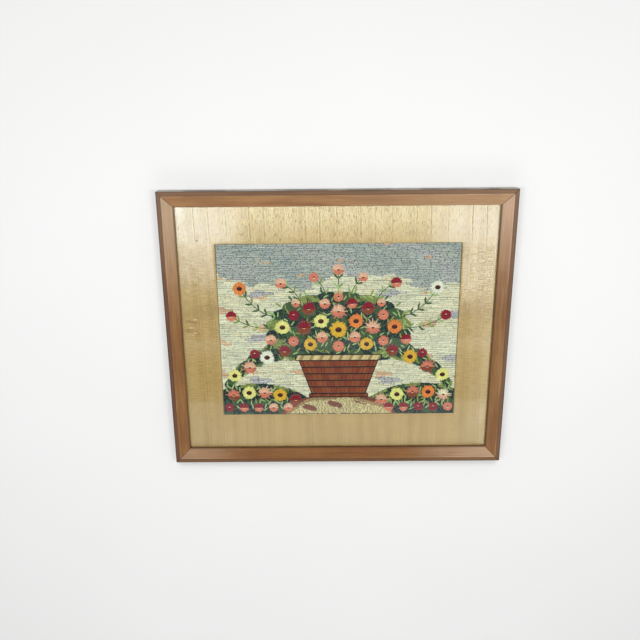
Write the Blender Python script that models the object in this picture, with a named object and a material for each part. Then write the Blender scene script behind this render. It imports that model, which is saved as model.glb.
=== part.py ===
"""Crewel embroidery behind a silk-covered mat and glass, in a mitred wooden frame.

The picture lies on its back: X runs along its width, Y from its bottom edge to its top edge, and
Z out of its face. The origin is the middle of the back, where the rails rest.

From the back the pieces are a plain backing board, the stretched cloth with its raised woollen
motifs, the mat with its window, the glass, and the four rails whose lip holds them all in.
"""

import math

import bmesh
import bpy
from mathutils import Matrix, Vector

MM = 0.001

# Frame: 22 by 18 inch glass in a 1 1/16 inch moulding
FRAME_WIDTH = 600.2 * MM
FRAME_HEIGHT = 498.6 * MM
MOULDING_WIDTH = 27.0 * MM
MOULDING_DEPTH = 22.0 * MM
SHOULDER_WIDTH = 7.6 * MM  # the dark outer strip of the face
SHOULDER_FALL = 1.1 * MM  # from the arris down to the outer side
BEVEL_FALL = 7.4 * MM  # from the arris down to the sight edge
SIGHT_WALL = 3.6 * MM  # inner wall, from the sight edge down to the glass
REBATE_WIDTH = 6.4 * MM
OUTER_RADIUS = 1.4 * MM
ARRIS_RADIUS = 0.9 * MM
SIGHT_RADIUS = 1.2 * MM
ARC_STEPS = 5

# What lies in the rebate
PIECE_GAP = 0.3 * MM
REBATE_CLEARANCE = 0.5 * MM
GLASS_THICKNESS = 2.0 * MM
MAT_THICKNESS = 2.0 * MM
CLOTH_THICKNESS = 1.6 * MM
BACKING_THICKNESS = 3.2 * MM

# Window of the mat. It sits a little right of the middle, as cut.
WINDOW_WIDTH = 422.0 * MM
WINDOW_HEIGHT = 317.0 * MM
WINDOW_SHIFT = 2.0 * MM
WINDOW_EDGE_RADIUS = 0.8 * MM
WINDOW_EDGE_STEPS = 2

# Raised wool, as heights above the cloth. Outlines stay this far inside the window.
WORKED_MARGIN = 1.0 * MM
SIDE_MOUND_RISE = 0.40 * MM
MIDDLE_MOUND_RISE = 0.52 * MM
GARLAND_RISE = 0.58 * MM
FOLIAGE_RISE = 0.64 * MM
STEM_RISE = 0.60 * MM
LEAF_RISE = 0.90 * MM
BASKET_RISE = 1.00 * MM
BASKET_GROOVE_RISE = 0.72 * MM
BASKET_RIM_RISE = 1.25 * MM
PETAL_RISE = 1.45 * MM
CORE_RISE = 1.85 * MM
ROOT_DEPTH = 0.40 * MM  # how far the wool is sunk into the cloth
STEP_APART = 0.002 * MM  # keeps the tops and the sunk faces of neighbours out of one plane

# Flowers: petals all round, corners to each petal, the radius at the notch between two petals and
# the radius of the core
FLOWER_KINDS = {
    "sunflower": {"petals": 9, "corners": 2, "notch": 0.84, "core": 0.42},
    "aster": {"petals": 8, "corners": 2, "notch": 0.66, "core": 0.24},
    "rosette": {"petals": 5, "corners": 3, "notch": 0.70, "core": 0.30},
}
CORE_SIDES = 6
TOP_SHARE = 0.82  # width of a flower's top against its foot

# Places are in millimetres from the middle of the window. Each motif off the middle line has a
# twin mirrored across it.
BOUQUET = [
    {"kind": "sunflower", "x": 0, "y": 4, "radius": 15},
    {"kind": "aster", "x": 0, "y": 38, "radius": 14},
    {"kind": "rosette", "x": 0, "y": -27, "radius": 11},
    {"kind": "rosette", "x": 0, "y": 64, "radius": 9},
    {"kind": "sunflower", "x": 31, "y": 20, "radius": 13},
    {"kind": "rosette", "x": 29, "y": -10, "radius": 11},
    {"kind": "rosette", "x": 24, "y": 52, "radius": 10},
    {"kind": "aster", "x": 52, "y": 43, "radius": 13},
    {"kind": "aster", "x": 61, "y": 8, "radius": 14},
    {"kind": "sunflower", "x": 50, "y": -23, "radius": 12},
    {"kind": "rosette", "x": 79, "y": 31, "radius": 10},
    {"kind": "rosette", "x": 80, "y": -17, "radius": 10},
    {"kind": "sunflower", "x": 99, "y": 9, "radius": 13},
    {"kind": "rosette", "x": 75, "y": 53, "radius": 8},
    {"kind": "rosette", "x": 120, "y": -14, "radius": 10},
]

# The scalloped mass of leaves that the bouquet grows from
FOLIAGE = {"y": 4, "reach": 122, "height": 66, "scallops": 20, "depth": 0.06}
SCALLOP_STEPS = 4

# The garland that trails from the basket, with its flowers at shares of its length and set off
# across it
GARLAND = {"root": (80, -32), "bend": (150, -34), "tip": (198, -100), "width": 19, "lobes": 4}
GARLAND_TAPER = 0.62
GARLAND_LOBE = 0.16
GARLAND_STEPS = 20
GARLAND_FLOWERS = [
    {"kind": "aster", "share": 0.12, "off": -2, "radius": 12},
    {"kind": "sunflower", "share": 0.38, "off": -5, "radius": 13},
    {"kind": "rosette", "share": 0.50, "off": 11, "radius": 9},
    {"kind": "aster", "share": 0.66, "off": -5, "radius": 13},
    {"kind": "sunflower", "share": 0.87, "off": 3, "radius": 12},
]

# Woven basket: its rows narrow towards the foot
BASKET = {"top": -54, "bottom": -118, "top_half": 70, "bottom_half": 48, "rows": 5, "groove": 1.6}
BASKET_RIM = {"half": 77, "height": 11}
BASKET_FOOT = {"half": 53, "height": 7}

# Leafy sprays: a stem with pairs of leaves and a flower at its tip
SPRAYS = [
    {"root": (0, 58), "bend": (0, 80), "tip": (0, 106), "pairs": 3, "kind": "rosette", "radius": 10},
    {"root": (20, 60), "bend": (24, 82), "tip": (38, 95), "pairs": 2, "kind": "rosette", "radius": 9},
    {"root": (66, 54), "bend": (74, 76), "tip": (94, 86), "pairs": 3, "kind": "rosette", "radius": 10},
    {"root": (104, 26), "bend": (144, 32), "tip": (168, 73), "pairs": 5, "kind": "sunflower", "radius": 12},
    {"root": (116, 8), "bend": (152, 4), "tip": (183, 26), "pairs": 4, "kind": "rosette", "radius": 10},
]
SPRAY_FLOWER_REACH = 0.7  # from the tip of the stem to the flower's middle, against its radius
STEM_WIDTH = 2.6
STEM_TAPER = 0.3
STEM_STEPS = 7
SPRAY_LEAF_TURN = 0.75
SPRAY_LEAF_START = 0.45

# Leaves
LEAF_LENGTH = 12
LEAF_WIDTH = 5
LEAF_WIDEST = 0.42  # where a leaf is widest, from its foot to its point
LEAF_FOOT = 0.5
CROWN_LEAVES = {"count": 11, "from_deg": 25, "to_deg": 155, "reach": 1.05}

# Mounds along the bottom, and the rows of flowers on each side mound. A row droops towards the
# ends of its mound.
SIDE_MOUND = {"x": 148, "y": -182, "reach": 122, "height": 84}
MIDDLE_MOUND = {"x": 0, "y": -205, "reach": 125, "height": 89}
MOUND_STEPS = 18
MOUND_LIP = 0.5
MOUND_ROWS = [
    {"kinds": ("aster", "sunflower"), "first": 78, "last": 191, "y": -115, "droop": 45, "radius": 12.5},
    {"kinds": ("rosette", "rosette"), "first": 92, "last": 200, "y": -145, "droop": 0, "radius": 9},
]
MOUND_ROW_FLOWERS = 5

# Heights of the layers, worked out from the back
RAIL_FACE = MOULDING_DEPTH
SIGHT_EDGE = MOULDING_DEPTH - BEVEL_FALL
LIP_UNDERSIDE = SIGHT_EDGE - SIGHT_WALL
GLASS_TOP = LIP_UNDERSIDE - PIECE_GAP
MAT_TOP = GLASS_TOP - GLASS_THICKNESS - PIECE_GAP
CLOTH_TOP = MAT_TOP - MAT_THICKNESS - PIECE_GAP
BACKING_TOP = CLOTH_TOP - CLOTH_THICKNESS - PIECE_GAP

SHEET_WIDTH = FRAME_WIDTH - 2 * (MOULDING_WIDTH - REBATE_WIDTH + REBATE_CLEARANCE)
SHEET_HEIGHT = FRAME_HEIGHT - 2 * (MOULDING_WIDTH - REBATE_WIDTH + REBATE_CLEARANCE)

COLOURS = {
    "frame_wood": {"colour": (0.27, 0.13, 0.06, 1.0), "roughness": 0.38},
    "glass": {"colour": (0.90, 0.95, 0.93, 1.0), "roughness": 0.03},
    "silk": {"colour": (0.52, 0.40, 0.20, 1.0), "roughness": 0.45},
    "wool": {"colour": (0.42, 0.45, 0.30, 1.0), "roughness": 0.90},
    "backing": {"colour": (0.30, 0.20, 0.11, 1.0), "roughness": 0.80},
}


def clear_scene():
    """Empties the scene that the script starts in."""
    for obj in list(bpy.data.objects):
        bpy.data.objects.remove(obj)


def new_collection(name, shown=True):
    """Adds a collection to the scene."""
    collection = bpy.data.collections.new(name)
    collection.hide_render = not shown
    bpy.context.scene.collection.children.link(collection)
    return collection


def new_material(name):
    """Principled material with the colour and roughness that COLOURS gives."""
    material = bpy.data.materials.new(name)
    material.use_nodes = True
    shader = material.node_tree.nodes["Principled BSDF"]
    shader.inputs["Base Color"].default_value = COLOURS[name]["colour"]
    shader.inputs["Roughness"].default_value = COLOURS[name]["roughness"]
    shader.inputs["Metallic"].default_value = 0.0
    return material


def place(name, mesh, collection, material=None, location=(0, 0, 0), turn=0.0):
    """Adds an object for the mesh, set down at a location and turned about Z."""
    obj = bpy.data.objects.new(name, mesh)
    obj.location = location
    obj.rotation_euler = (0.0, 0.0, turn)
    if material and not mesh.materials:
        mesh.materials.append(material)
    collection.objects.link(obj)
    return obj


def rounded_outline(corners):
    """Closed outline in which each corner (x, y, radius) with a radius becomes an arc."""
    outline = []
    for i, (x, y, radius) in enumerate(corners):
        corner = Vector((x, y))
        before = (Vector(corners[i - 1][:2]) - corner).normalized()
        after = (Vector(corners[(i + 1) % len(corners)][:2]) - corner).normalized()
        if radius == 0:
            outline.append(corner)
            continue
        half_angle = before.angle(after) / 2
        middle = (before + after).normalized()
        centre = corner + middle * radius / math.sin(half_angle)
        start = corner + before * radius / math.tan(half_angle) - centre
        end = corner + after * radius / math.tan(half_angle) - centre
        sweep = start.angle_signed(end)
        for step in range(ARC_STEPS + 1):
            turn = Matrix.Rotation(-sweep * step / ARC_STEPS, 2)
            outline.append(centre + turn @ start)
    return outline


def prism_mesh(name, outlines, depth):
    """Solid mesh of flat outlines, a first one and any holes, with its depth centred on Z = 0."""
    curve = bpy.data.curves.new(name, "CURVE")
    curve.dimensions = "2D"
    curve.fill_mode = "BOTH"
    curve.extrude = depth / 2
    for outline in outlines:
        spline = curve.splines.new("POLY")
        spline.points.add(len(outline) - 1)
        for point, (x, y) in zip(spline.points, outline):
            point.co = (x, y, 0.0, 1.0)
        spline.use_cyclic_u = True
    holder = bpy.data.objects.new(name, curve)
    bpy.context.scene.collection.objects.link(holder)
    bpy.context.view_layer.update()
    depsgraph = bpy.context.evaluated_depsgraph_get()
    mesh = bpy.data.meshes.new_from_object(holder.evaluated_get(depsgraph))
    bpy.data.objects.remove(holder)
    bpy.data.curves.remove(curve)
    mesh.name = name
    welded = bmesh.new()
    welded.from_mesh(mesh)
    bmesh.ops.remove_doubles(welded, verts=welded.verts, dist=1e-6)
    bmesh.ops.recalc_face_normals(welded, faces=welded.faces)
    welded.to_mesh(mesh)
    welded.free()
    return mesh


def block_mesh(name, width, height, depth):
    """Rectangular sheet, centred, with its true size in its mesh."""
    mesh = bpy.data.meshes.new(name)
    block = bmesh.new()
    bmesh.ops.create_cube(block, size=1.0)
    bmesh.ops.scale(block, vec=(width, height, depth), verts=block.verts)
    block.to_mesh(mesh)
    block.free()
    return mesh


def moulding_outline():
    """Section of the moulding: across from its outer side, and up from its back."""
    across = MOULDING_WIDTH
    rebate = MOULDING_WIDTH - REBATE_WIDTH
    return rounded_outline(
        [
            (0.0, 0.0, 0.0),
            (0.0, RAIL_FACE - SHOULDER_FALL, OUTER_RADIUS),
            (SHOULDER_WIDTH, RAIL_FACE, ARRIS_RADIUS),
            (across, SIGHT_EDGE, SIGHT_RADIUS),
            (across, LIP_UNDERSIDE, 0.0),
            (rebate, LIP_UNDERSIDE, 0.0),
            (rebate, 0.0, 0.0),
        ]
    )


def rail_mesh(name, length):
    """Length of moulding along X with its outer side on Y = 0, cut to a mitre at each end."""
    mesh = prism_mesh(name, [moulding_outline()], length + MOULDING_WIDTH)
    mesh.transform(Matrix(((0, 0, 1, 0), (1, 0, 0, 0), (0, 1, 0, 0), (0, 0, 0, 1))))
    rail = bmesh.new()
    rail.from_mesh(mesh)
    for side in (-1, 1):
        normal = Vector((side, 1, 0)).normalized()
        corner = Vector((side * length / 2, 0, 0)) - normal * PIECE_GAP / 2
        cut = bmesh.ops.bisect_plane(
            rail,
            geom=rail.verts[:] + rail.edges[:] + rail.faces[:],
            dist=1e-7,
            plane_co=corner,
            plane_no=normal,
            clear_outer=True,
        )
        rim = [item for item in cut["geom_cut"] if isinstance(item, bmesh.types.BMEdge)]
        bmesh.ops.edgeloop_fill(rail, edges=rim)
    bmesh.ops.recalc_face_normals(rail, faces=rail.faces)
    rail.to_mesh(mesh)
    rail.free()
    return mesh


def build_rails(collection):
    """Four mitred rails: two long ones and two short ones."""
    wood = new_material("frame_wood")
    long_rail = rail_mesh("long_rail", FRAME_WIDTH)
    short_rail = rail_mesh("short_rail", FRAME_HEIGHT)
    half_width = FRAME_WIDTH / 2
    half_height = FRAME_HEIGHT / 2
    place("rail_bottom", long_rail, collection, wood, (0, -half_height, 0), 0.0)
    place("rail_top", long_rail, collection, wood, (0, half_height, 0), math.pi)
    place("rail_left", short_rail, collection, wood, (-half_width, 0, 0), -math.pi / 2)
    place("rail_right", short_rail, collection, wood, (half_width, 0, 0), math.pi / 2)


def build_glass(collection):
    """Pane under the lip of the rails."""
    mesh = block_mesh("glass", SHEET_WIDTH, SHEET_HEIGHT, GLASS_THICKNESS)
    height = GLASS_TOP - GLASS_THICKNESS / 2
    place("glass", mesh, collection, new_material("glass"), (0, 0, height))


def build_mat(collection):
    """Board covered in silk that turns over the rounded edge of its window."""
    half_x, half_y = SHEET_WIDTH / 2, SHEET_HEIGHT / 2
    window_x, window_y = WINDOW_WIDTH / 2, WINDOW_HEIGHT / 2
    board = [(-half_x, -half_y), (half_x, -half_y), (half_x, half_y), (-half_x, half_y)]
    window = [
        (WINDOW_SHIFT - window_x, -window_y),
        (WINDOW_SHIFT + window_x, -window_y),
        (WINDOW_SHIFT + window_x, window_y),
        (WINDOW_SHIFT - window_x, window_y),
    ]
    mesh = prism_mesh("silk_mat", [board, window], MAT_THICKNESS)
    mat = bmesh.new()
    mat.from_mesh(mesh)
    top = MAT_THICKNESS / 2 - 1e-6
    inside = window_y + WINDOW_EDGE_RADIUS
    rim = [
        edge
        for edge in mat.edges
        if all(v.co.z > top and abs(v.co.y) < inside for v in edge.verts)
        and len(edge.link_faces) == 2
        and edge.calc_face_angle() > 1.0
    ]
    bmesh.ops.bevel(
        mat,
        geom=rim,
        offset=WINDOW_EDGE_RADIUS,
        offset_type="OFFSET",
        segments=WINDOW_EDGE_STEPS,
        profile=0.5,
        affect="EDGES",
    )
    mat.to_mesh(mesh)
    mat.free()
    height = MAT_TOP - MAT_THICKNESS / 2
    place("silk_mat", mesh, collection, new_material("silk"), (0, 0, height))


def build_backing(collection):
    """Plain board that closes the back."""
    mesh = block_mesh("backing_board", SHEET_WIDTH, SHEET_HEIGHT, BACKING_THICKNESS)
    height = BACKING_TOP - BACKING_THICKNESS / 2
    place("backing_board", mesh, collection, new_material("backing"), (0, 0, height))


class RaisedWork:
    """Gathers the raised motifs, each rooted in the cloth at a depth of its own."""

    def __init__(self, collection):
        self.collection = collection
        self.count = 0

    def levels(self, rise):
        """Top of the next motif above the cloth, and its whole depth with its root."""
        self.count += 1
        apart = STEP_APART * self.count
        return rise + apart, rise + ROOT_DEPTH + 2 * apart

    def outline(self, name, points, rise):
        """Raises a closed outline, given in millimetres of the window."""
        top, depth = self.levels(rise)
        flat = [(x * MM + WINDOW_SHIFT, y * MM) for x, y in points]
        mesh = prism_mesh(name, [flat], depth)
        place(name, mesh, self.collection, location=(0, 0, CLOTH_TOP + top - depth / 2))

    def button(self, name, spot, radius, rise, petals, corners=1, notch=1.0):
        """Raises a round motif whose side slopes in, pulled in at the notch before each petal."""
        sides = petals * corners
        top, depth = self.levels(rise)
        mesh = bpy.data.meshes.new(name)
        button = bmesh.new()
        bmesh.ops.create_cone(
            button,
            cap_ends=True,
            segments=sides,
            radius1=radius * MM,
            radius2=radius * MM * TOP_SHARE,
            depth=depth,
        )
        for corner in button.verts:
            number = round(math.atan2(corner.co.x, corner.co.y) * sides / (2 * math.pi))
            if number % corners == 0:
                corner.co.x *= notch
                corner.co.y *= notch
        button.to_mesh(mesh)
        button.free()
        x, y = spot[0] * MM + WINDOW_SHIFT, spot[1] * MM
        place(name, mesh, self.collection, location=(x, y, CLOTH_TOP + top - depth / 2))


def limits():
    """Half width and half height of the worked cloth, in millimetres."""
    return (
        (WINDOW_WIDTH / 2 - WORKED_MARGIN) / MM,
        (WINDOW_HEIGHT / 2 - WORKED_MARGIN) / MM,
    )


def mound_outline(mound, side):
    """Upper part of an ellipse, cut off by the bottom and the sides of the window."""
    edge_x, edge_y = limits()
    half = mound["reach"] * math.sqrt(1 - ((-edge_y - mound["y"]) / mound["height"]) ** 2)
    centre = side * mound["x"]
    left = max(centre - half, -edge_x)
    right = min(centre + half, edge_x)
    outline = []
    for step in range(MOUND_STEPS + 1):
        x = right + (left - right) * step / MOUND_STEPS
        level = math.sqrt(max(0.0, 1 - ((x - centre) / mound["reach"]) ** 2))
        y = mound["y"] + mound["height"] * level
        outline.append((x, max(y, MOUND_LIP - edge_y)))
    return [(left, -edge_y), (right, -edge_y), *outline]


def foliage_outline():
    """Ellipse with scallops all round."""
    outline = []
    steps = FOLIAGE["scallops"] * SCALLOP_STEPS
    for step in range(steps):
        angle = 2 * math.pi * step / steps
        swell = 1 + FOLIAGE["depth"] * abs(math.sin(math.pi * step / SCALLOP_STEPS))
        x = FOLIAGE["reach"] * swell * math.cos(angle)
        y = FOLIAGE["y"] + FOLIAGE["height"] * swell * math.sin(angle)
        outline.append((x, y))
    return outline


def bend_point(path, share):
    """Point and unit direction on the quadratic curve from root to tip."""
    root, bend, tip = (Vector(path[key]) for key in ("root", "bend", "tip"))
    point = (1 - share) ** 2 * root + 2 * share * (1 - share) * bend + share**2 * tip
    direction = 2 * (1 - share) * (bend - root) + 2 * share * (tip - bend)
    return point, direction.normalized()


def ribbon_outline(path, steps, half_width, side):
    """Outline along a curve, as wide as half_width(share) gives on each side of it."""
    upper, lower = [], []
    for step in range(steps + 1):
        share = step / steps
        point, direction = bend_point(path, share)
        across = Vector((-direction.y, direction.x)) * half_width(share)
        upper.append(point + across)
        lower.append(point - across)
    return [(side * x, y) for x, y in lower + upper[::-1]]


def garland_half_width(share):
    """Half width of the garland, which tapers to its tip and swells at each lobe."""
    lobe = 1 + GARLAND_LOBE * math.cos(2 * math.pi * GARLAND["lobes"] * share)
    return GARLAND["width"] * (1 - GARLAND_TAPER * share) * lobe


def stem_half_width(share):
    """Half width of a stem, a little thinner at its tip."""
    return STEM_WIDTH / 2 * (1 - STEM_TAPER * share)


def leaf_outline(x, y, angle):
    """Pointed leaf that starts at (x, y) and runs along the angle."""
    along = Vector((math.cos(angle), math.sin(angle))) * LEAF_LENGTH
    across = Vector((-math.sin(angle), math.cos(angle))) * LEAF_WIDTH / 2
    foot = Vector((x, y))
    widest = foot + along * LEAF_WIDEST
    return [foot, widest - across, foot + along, widest + across]


def crown_leaves():
    """Leaves that stick out of the top of the bouquet, as (x, y, angle)."""
    leaves = []
    spread = CROWN_LEAVES["to_deg"] - CROWN_LEAVES["from_deg"]
    for number in range(CROWN_LEAVES["count"]):
        share = number / (CROWN_LEAVES["count"] - 1)
        angle = math.radians(CROWN_LEAVES["from_deg"] + share * spread)
        x = FOLIAGE["reach"] * CROWN_LEAVES["reach"] * math.cos(angle)
        rise = FOLIAGE["height"] * CROWN_LEAVES["reach"] * math.sin(angle)
        outward = math.atan2(rise, x * FOLIAGE["height"] / FOLIAGE["reach"])
        leaves.append((x, FOLIAGE["y"] + rise, outward))
    return leaves


def spray_leaves(spray, side):
    """Pairs of leaves along the stem of a spray, as (x, y, angle)."""
    leaves = []
    for number in range(spray["pairs"]):
        share = (number + SPRAY_LEAF_START) / spray["pairs"]
        point, direction = bend_point(spray, share)
        heading = math.atan2(direction.y, direction.x)
        for turn in (-SPRAY_LEAF_TURN, SPRAY_LEAF_TURN):
            angle = heading + turn
            x = point.x + LEAF_FOOT * math.cos(angle)
            y = point.y + LEAF_FOOT * math.sin(angle)
            leaves.append((side * x, y, angle if side > 0 else math.pi - angle))
    return leaves


def sides_of(spot_x):
    """Sides on which a motif stands: both, or one if it is on the middle line."""
    return (1, -1) if spot_x else (1,)


def raise_basket(work):
    """Woven rows with a groove between each two, a rim and a foot."""
    rows = BASKET["rows"]
    height = (BASKET["top"] - BASKET["bottom"]) / rows

    def half_at(y):
        share = (y - BASKET["bottom"]) / (BASKET["top"] - BASKET["bottom"])
        return BASKET["bottom_half"] + share * (BASKET["top_half"] - BASKET["bottom_half"])

    def band(name, low, high, rise, inset=0.0):
        wide, narrow = half_at(high) - inset, half_at(low) - inset
        work.outline(name, [(-narrow, low), (narrow, low), (wide, high), (-wide, high)], rise)

    band("basket_ground", BASKET["bottom"] - 1, BASKET["top"] + 1, BASKET_GROOVE_RISE, 0.6)
    for row in range(rows):
        low = BASKET["bottom"] + row * height + BASKET["groove"] / 2
        band(f"basket_row_{row}", low, low + height - BASKET["groove"], BASKET_RISE)
    for name, part, base in (
        ("basket_rim", BASKET_RIM, BASKET["top"]),
        ("basket_foot", BASKET_FOOT, BASKET["bottom"] - BASKET_FOOT["height"]),
    ):
        half, top = part["half"], base + part["height"]
        work.outline(name, [(-half, base), (half, base), (half, top), (-half, top)], BASKET_RIM_RISE)


def raise_sprays(work):
    """Stems with their leaves, and the leaves round the crown of the bouquet."""
    leaves = crown_leaves()
    for number, spray in enumerate(SPRAYS):
        for side in sides_of(spray["tip"][0]):
            stem = ribbon_outline(spray, STEM_STEPS, stem_half_width, side)
            work.outline(f"stem_{number}_{side}", stem, STEM_RISE)
            leaves += spray_leaves(spray, side)
    for number, leaf in enumerate(leaves):
        work.outline(f"leaf_{number}", leaf_outline(*leaf), LEAF_RISE)


def garland_flowers():
    """Flowers along the garland, as (kind, x, y, radius)."""
    flowers = []
    for row in GARLAND_FLOWERS:
        point, direction = bend_point(GARLAND, row["share"])
        spot = point + Vector((-direction.y, direction.x)) * row["off"]
        flowers.append((row["kind"], spot.x, spot.y, row["radius"]))
    return flowers


def spray_flowers():
    """The flower at the tip of each spray, as (kind, x, y, radius)."""
    flowers = []
    for spray in SPRAYS:
        tip, direction = bend_point(spray, 1)
        spot = tip + direction * SPRAY_FLOWER_REACH * spray["radius"]
        flowers.append((spray["kind"], spot.x, spot.y, spray["radius"]))
    return flowers


def mound_flowers():
    """Rows of flowers on a side mound, their kinds taking turns, as (kind, x, y, radius)."""
    flowers = []
    for row in MOUND_ROWS:
        for number in range(MOUND_ROW_FLOWERS):
            share = number / (MOUND_ROW_FLOWERS - 1)
            x = row["first"] + share * (row["last"] - row["first"])
            y = row["y"] - row["droop"] * ((x - SIDE_MOUND["x"]) / SIDE_MOUND["reach"]) ** 2
            flowers.append((row["kinds"][number % 2], x, y, row["radius"]))
    return flowers


def raise_flowers(work):
    """Petals and core of each flower, and of its twin on the other side."""
    flowers = [(row["kind"], row["x"], row["y"], row["radius"]) for row in BOUQUET]
    flowers += garland_flowers() + spray_flowers() + mound_flowers()
    for number, (kind_name, x, y, radius) in enumerate(flowers):
        kind = FLOWER_KINDS[kind_name]
        for side in sides_of(x):
            spot = (side * x, y)
            name = f"{kind_name}_{number}_{side}"
            work.button(
                name, spot, radius, PETAL_RISE, kind["petals"], kind["corners"], kind["notch"]
            )
            work.button(name + "_core", spot, radius * kind["core"], CORE_RISE, CORE_SIDES)


def build_cloth(collection, motifs):
    """Stretched cloth joined with its raised wool into one solid."""
    mesh = block_mesh("embroidered_cloth", SHEET_WIDTH, SHEET_HEIGHT, CLOTH_THICKNESS)
    height = CLOTH_TOP - CLOTH_THICKNESS / 2
    cloth = place("embroidered_cloth", mesh, collection, new_material("wool"), (0, 0, height))
    work = RaisedWork(motifs)
    for side in (-1, 1):
        work.outline(f"side_mound_{side}", mound_outline(SIDE_MOUND, side), SIDE_MOUND_RISE)
    work.outline("middle_mound", mound_outline(MIDDLE_MOUND, 1), MIDDLE_MOUND_RISE)
    for side in (-1, 1):
        garland = ribbon_outline(GARLAND, GARLAND_STEPS, garland_half_width, side)
        work.outline(f"garland_{side}", garland, GARLAND_RISE)
    work.outline("foliage", foliage_outline(), FOLIAGE_RISE)
    raise_sprays(work)
    raise_basket(work)
    raise_flowers(work)
    for motif in motifs.objects:
        motif.display_type = "WIRE"
        motif.hide_render = True
    joined = cloth.modifiers.new("raised_wool", "BOOLEAN")
    joined.operation = "UNION"
    joined.operand_type = "COLLECTION"
    joined.collection = motifs
    joined.solver = "EXACT"


def main():
    clear_scene()
    picture = new_collection("framed_crewel_embroidery")
    motifs = new_collection("raised_motifs", shown=False)
    build_rails(picture)
    build_glass(picture)
    build_mat(picture)
    build_cloth(picture, motifs)
    build_backing(picture)


main()
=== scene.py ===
# A framed crewel embroidery lying on its back, with the camera at the photograph's angle to it

import math

import bpy
import numpy as np
from mathutils import Matrix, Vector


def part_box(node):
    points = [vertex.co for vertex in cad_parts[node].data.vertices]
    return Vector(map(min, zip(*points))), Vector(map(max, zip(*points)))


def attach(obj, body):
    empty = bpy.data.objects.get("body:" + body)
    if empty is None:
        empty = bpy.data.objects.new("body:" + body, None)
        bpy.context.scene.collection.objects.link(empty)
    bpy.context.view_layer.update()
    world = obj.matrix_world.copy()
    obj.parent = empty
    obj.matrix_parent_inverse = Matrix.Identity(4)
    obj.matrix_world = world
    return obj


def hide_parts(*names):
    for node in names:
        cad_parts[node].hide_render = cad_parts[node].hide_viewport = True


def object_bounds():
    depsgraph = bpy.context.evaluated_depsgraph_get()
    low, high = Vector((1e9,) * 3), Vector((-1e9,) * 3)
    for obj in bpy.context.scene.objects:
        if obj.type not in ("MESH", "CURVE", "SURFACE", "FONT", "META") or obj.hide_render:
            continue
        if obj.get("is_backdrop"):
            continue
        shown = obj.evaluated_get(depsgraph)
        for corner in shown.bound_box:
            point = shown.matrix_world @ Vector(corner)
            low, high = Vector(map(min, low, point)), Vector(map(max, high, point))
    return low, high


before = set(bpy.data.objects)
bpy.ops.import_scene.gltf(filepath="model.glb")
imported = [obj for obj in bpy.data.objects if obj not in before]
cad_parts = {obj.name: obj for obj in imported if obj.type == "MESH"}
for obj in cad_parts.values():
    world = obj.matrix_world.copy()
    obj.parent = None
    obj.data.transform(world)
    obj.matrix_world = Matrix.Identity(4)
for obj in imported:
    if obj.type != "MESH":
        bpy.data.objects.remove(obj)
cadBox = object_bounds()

mm = 0.001
scene = bpy.context.scene
scene.view_settings.view_transform = "Standard"
print("frame loaded:", ", ".join(sorted(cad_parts)))


# Shader helpers

def tone(red, green, blue):
    # a screen colour from 0 to 255 as the linear colour that shaders use
    screen = np.array([red, green, blue]) / 255.0
    return np.where(screen <= 0.04045, screen / 12.92, ((screen + 0.055) / 1.055) ** 2.4)


def rgba(colour):
    # with an alpha of 1
    return (*(float(c) for c in colour), 1.0)


class Sock:
    # one shader socket, on which arithmetic adds Math nodes
    def __init__(self, finish, socket):
        self.finish, self.socket = finish, socket

    def __add__(self, other):
        return self.finish.math("ADD", self, other)

    def __sub__(self, other):
        return self.finish.math("SUBTRACT", self, other)

    def __rsub__(self, other):
        return self.finish.math("SUBTRACT", other, self)

    def __mul__(self, other):
        return self.finish.math("MULTIPLY", self, other)

    def __truediv__(self, other):
        return self.finish.math("DIVIDE", self, other)

    def __pow__(self, other):
        return self.finish.math("POWER", self, other)

    def __abs__(self):
        return self.finish.math("ABSOLUTE", self)

    __radd__, __rmul__ = __add__, __mul__


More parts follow.
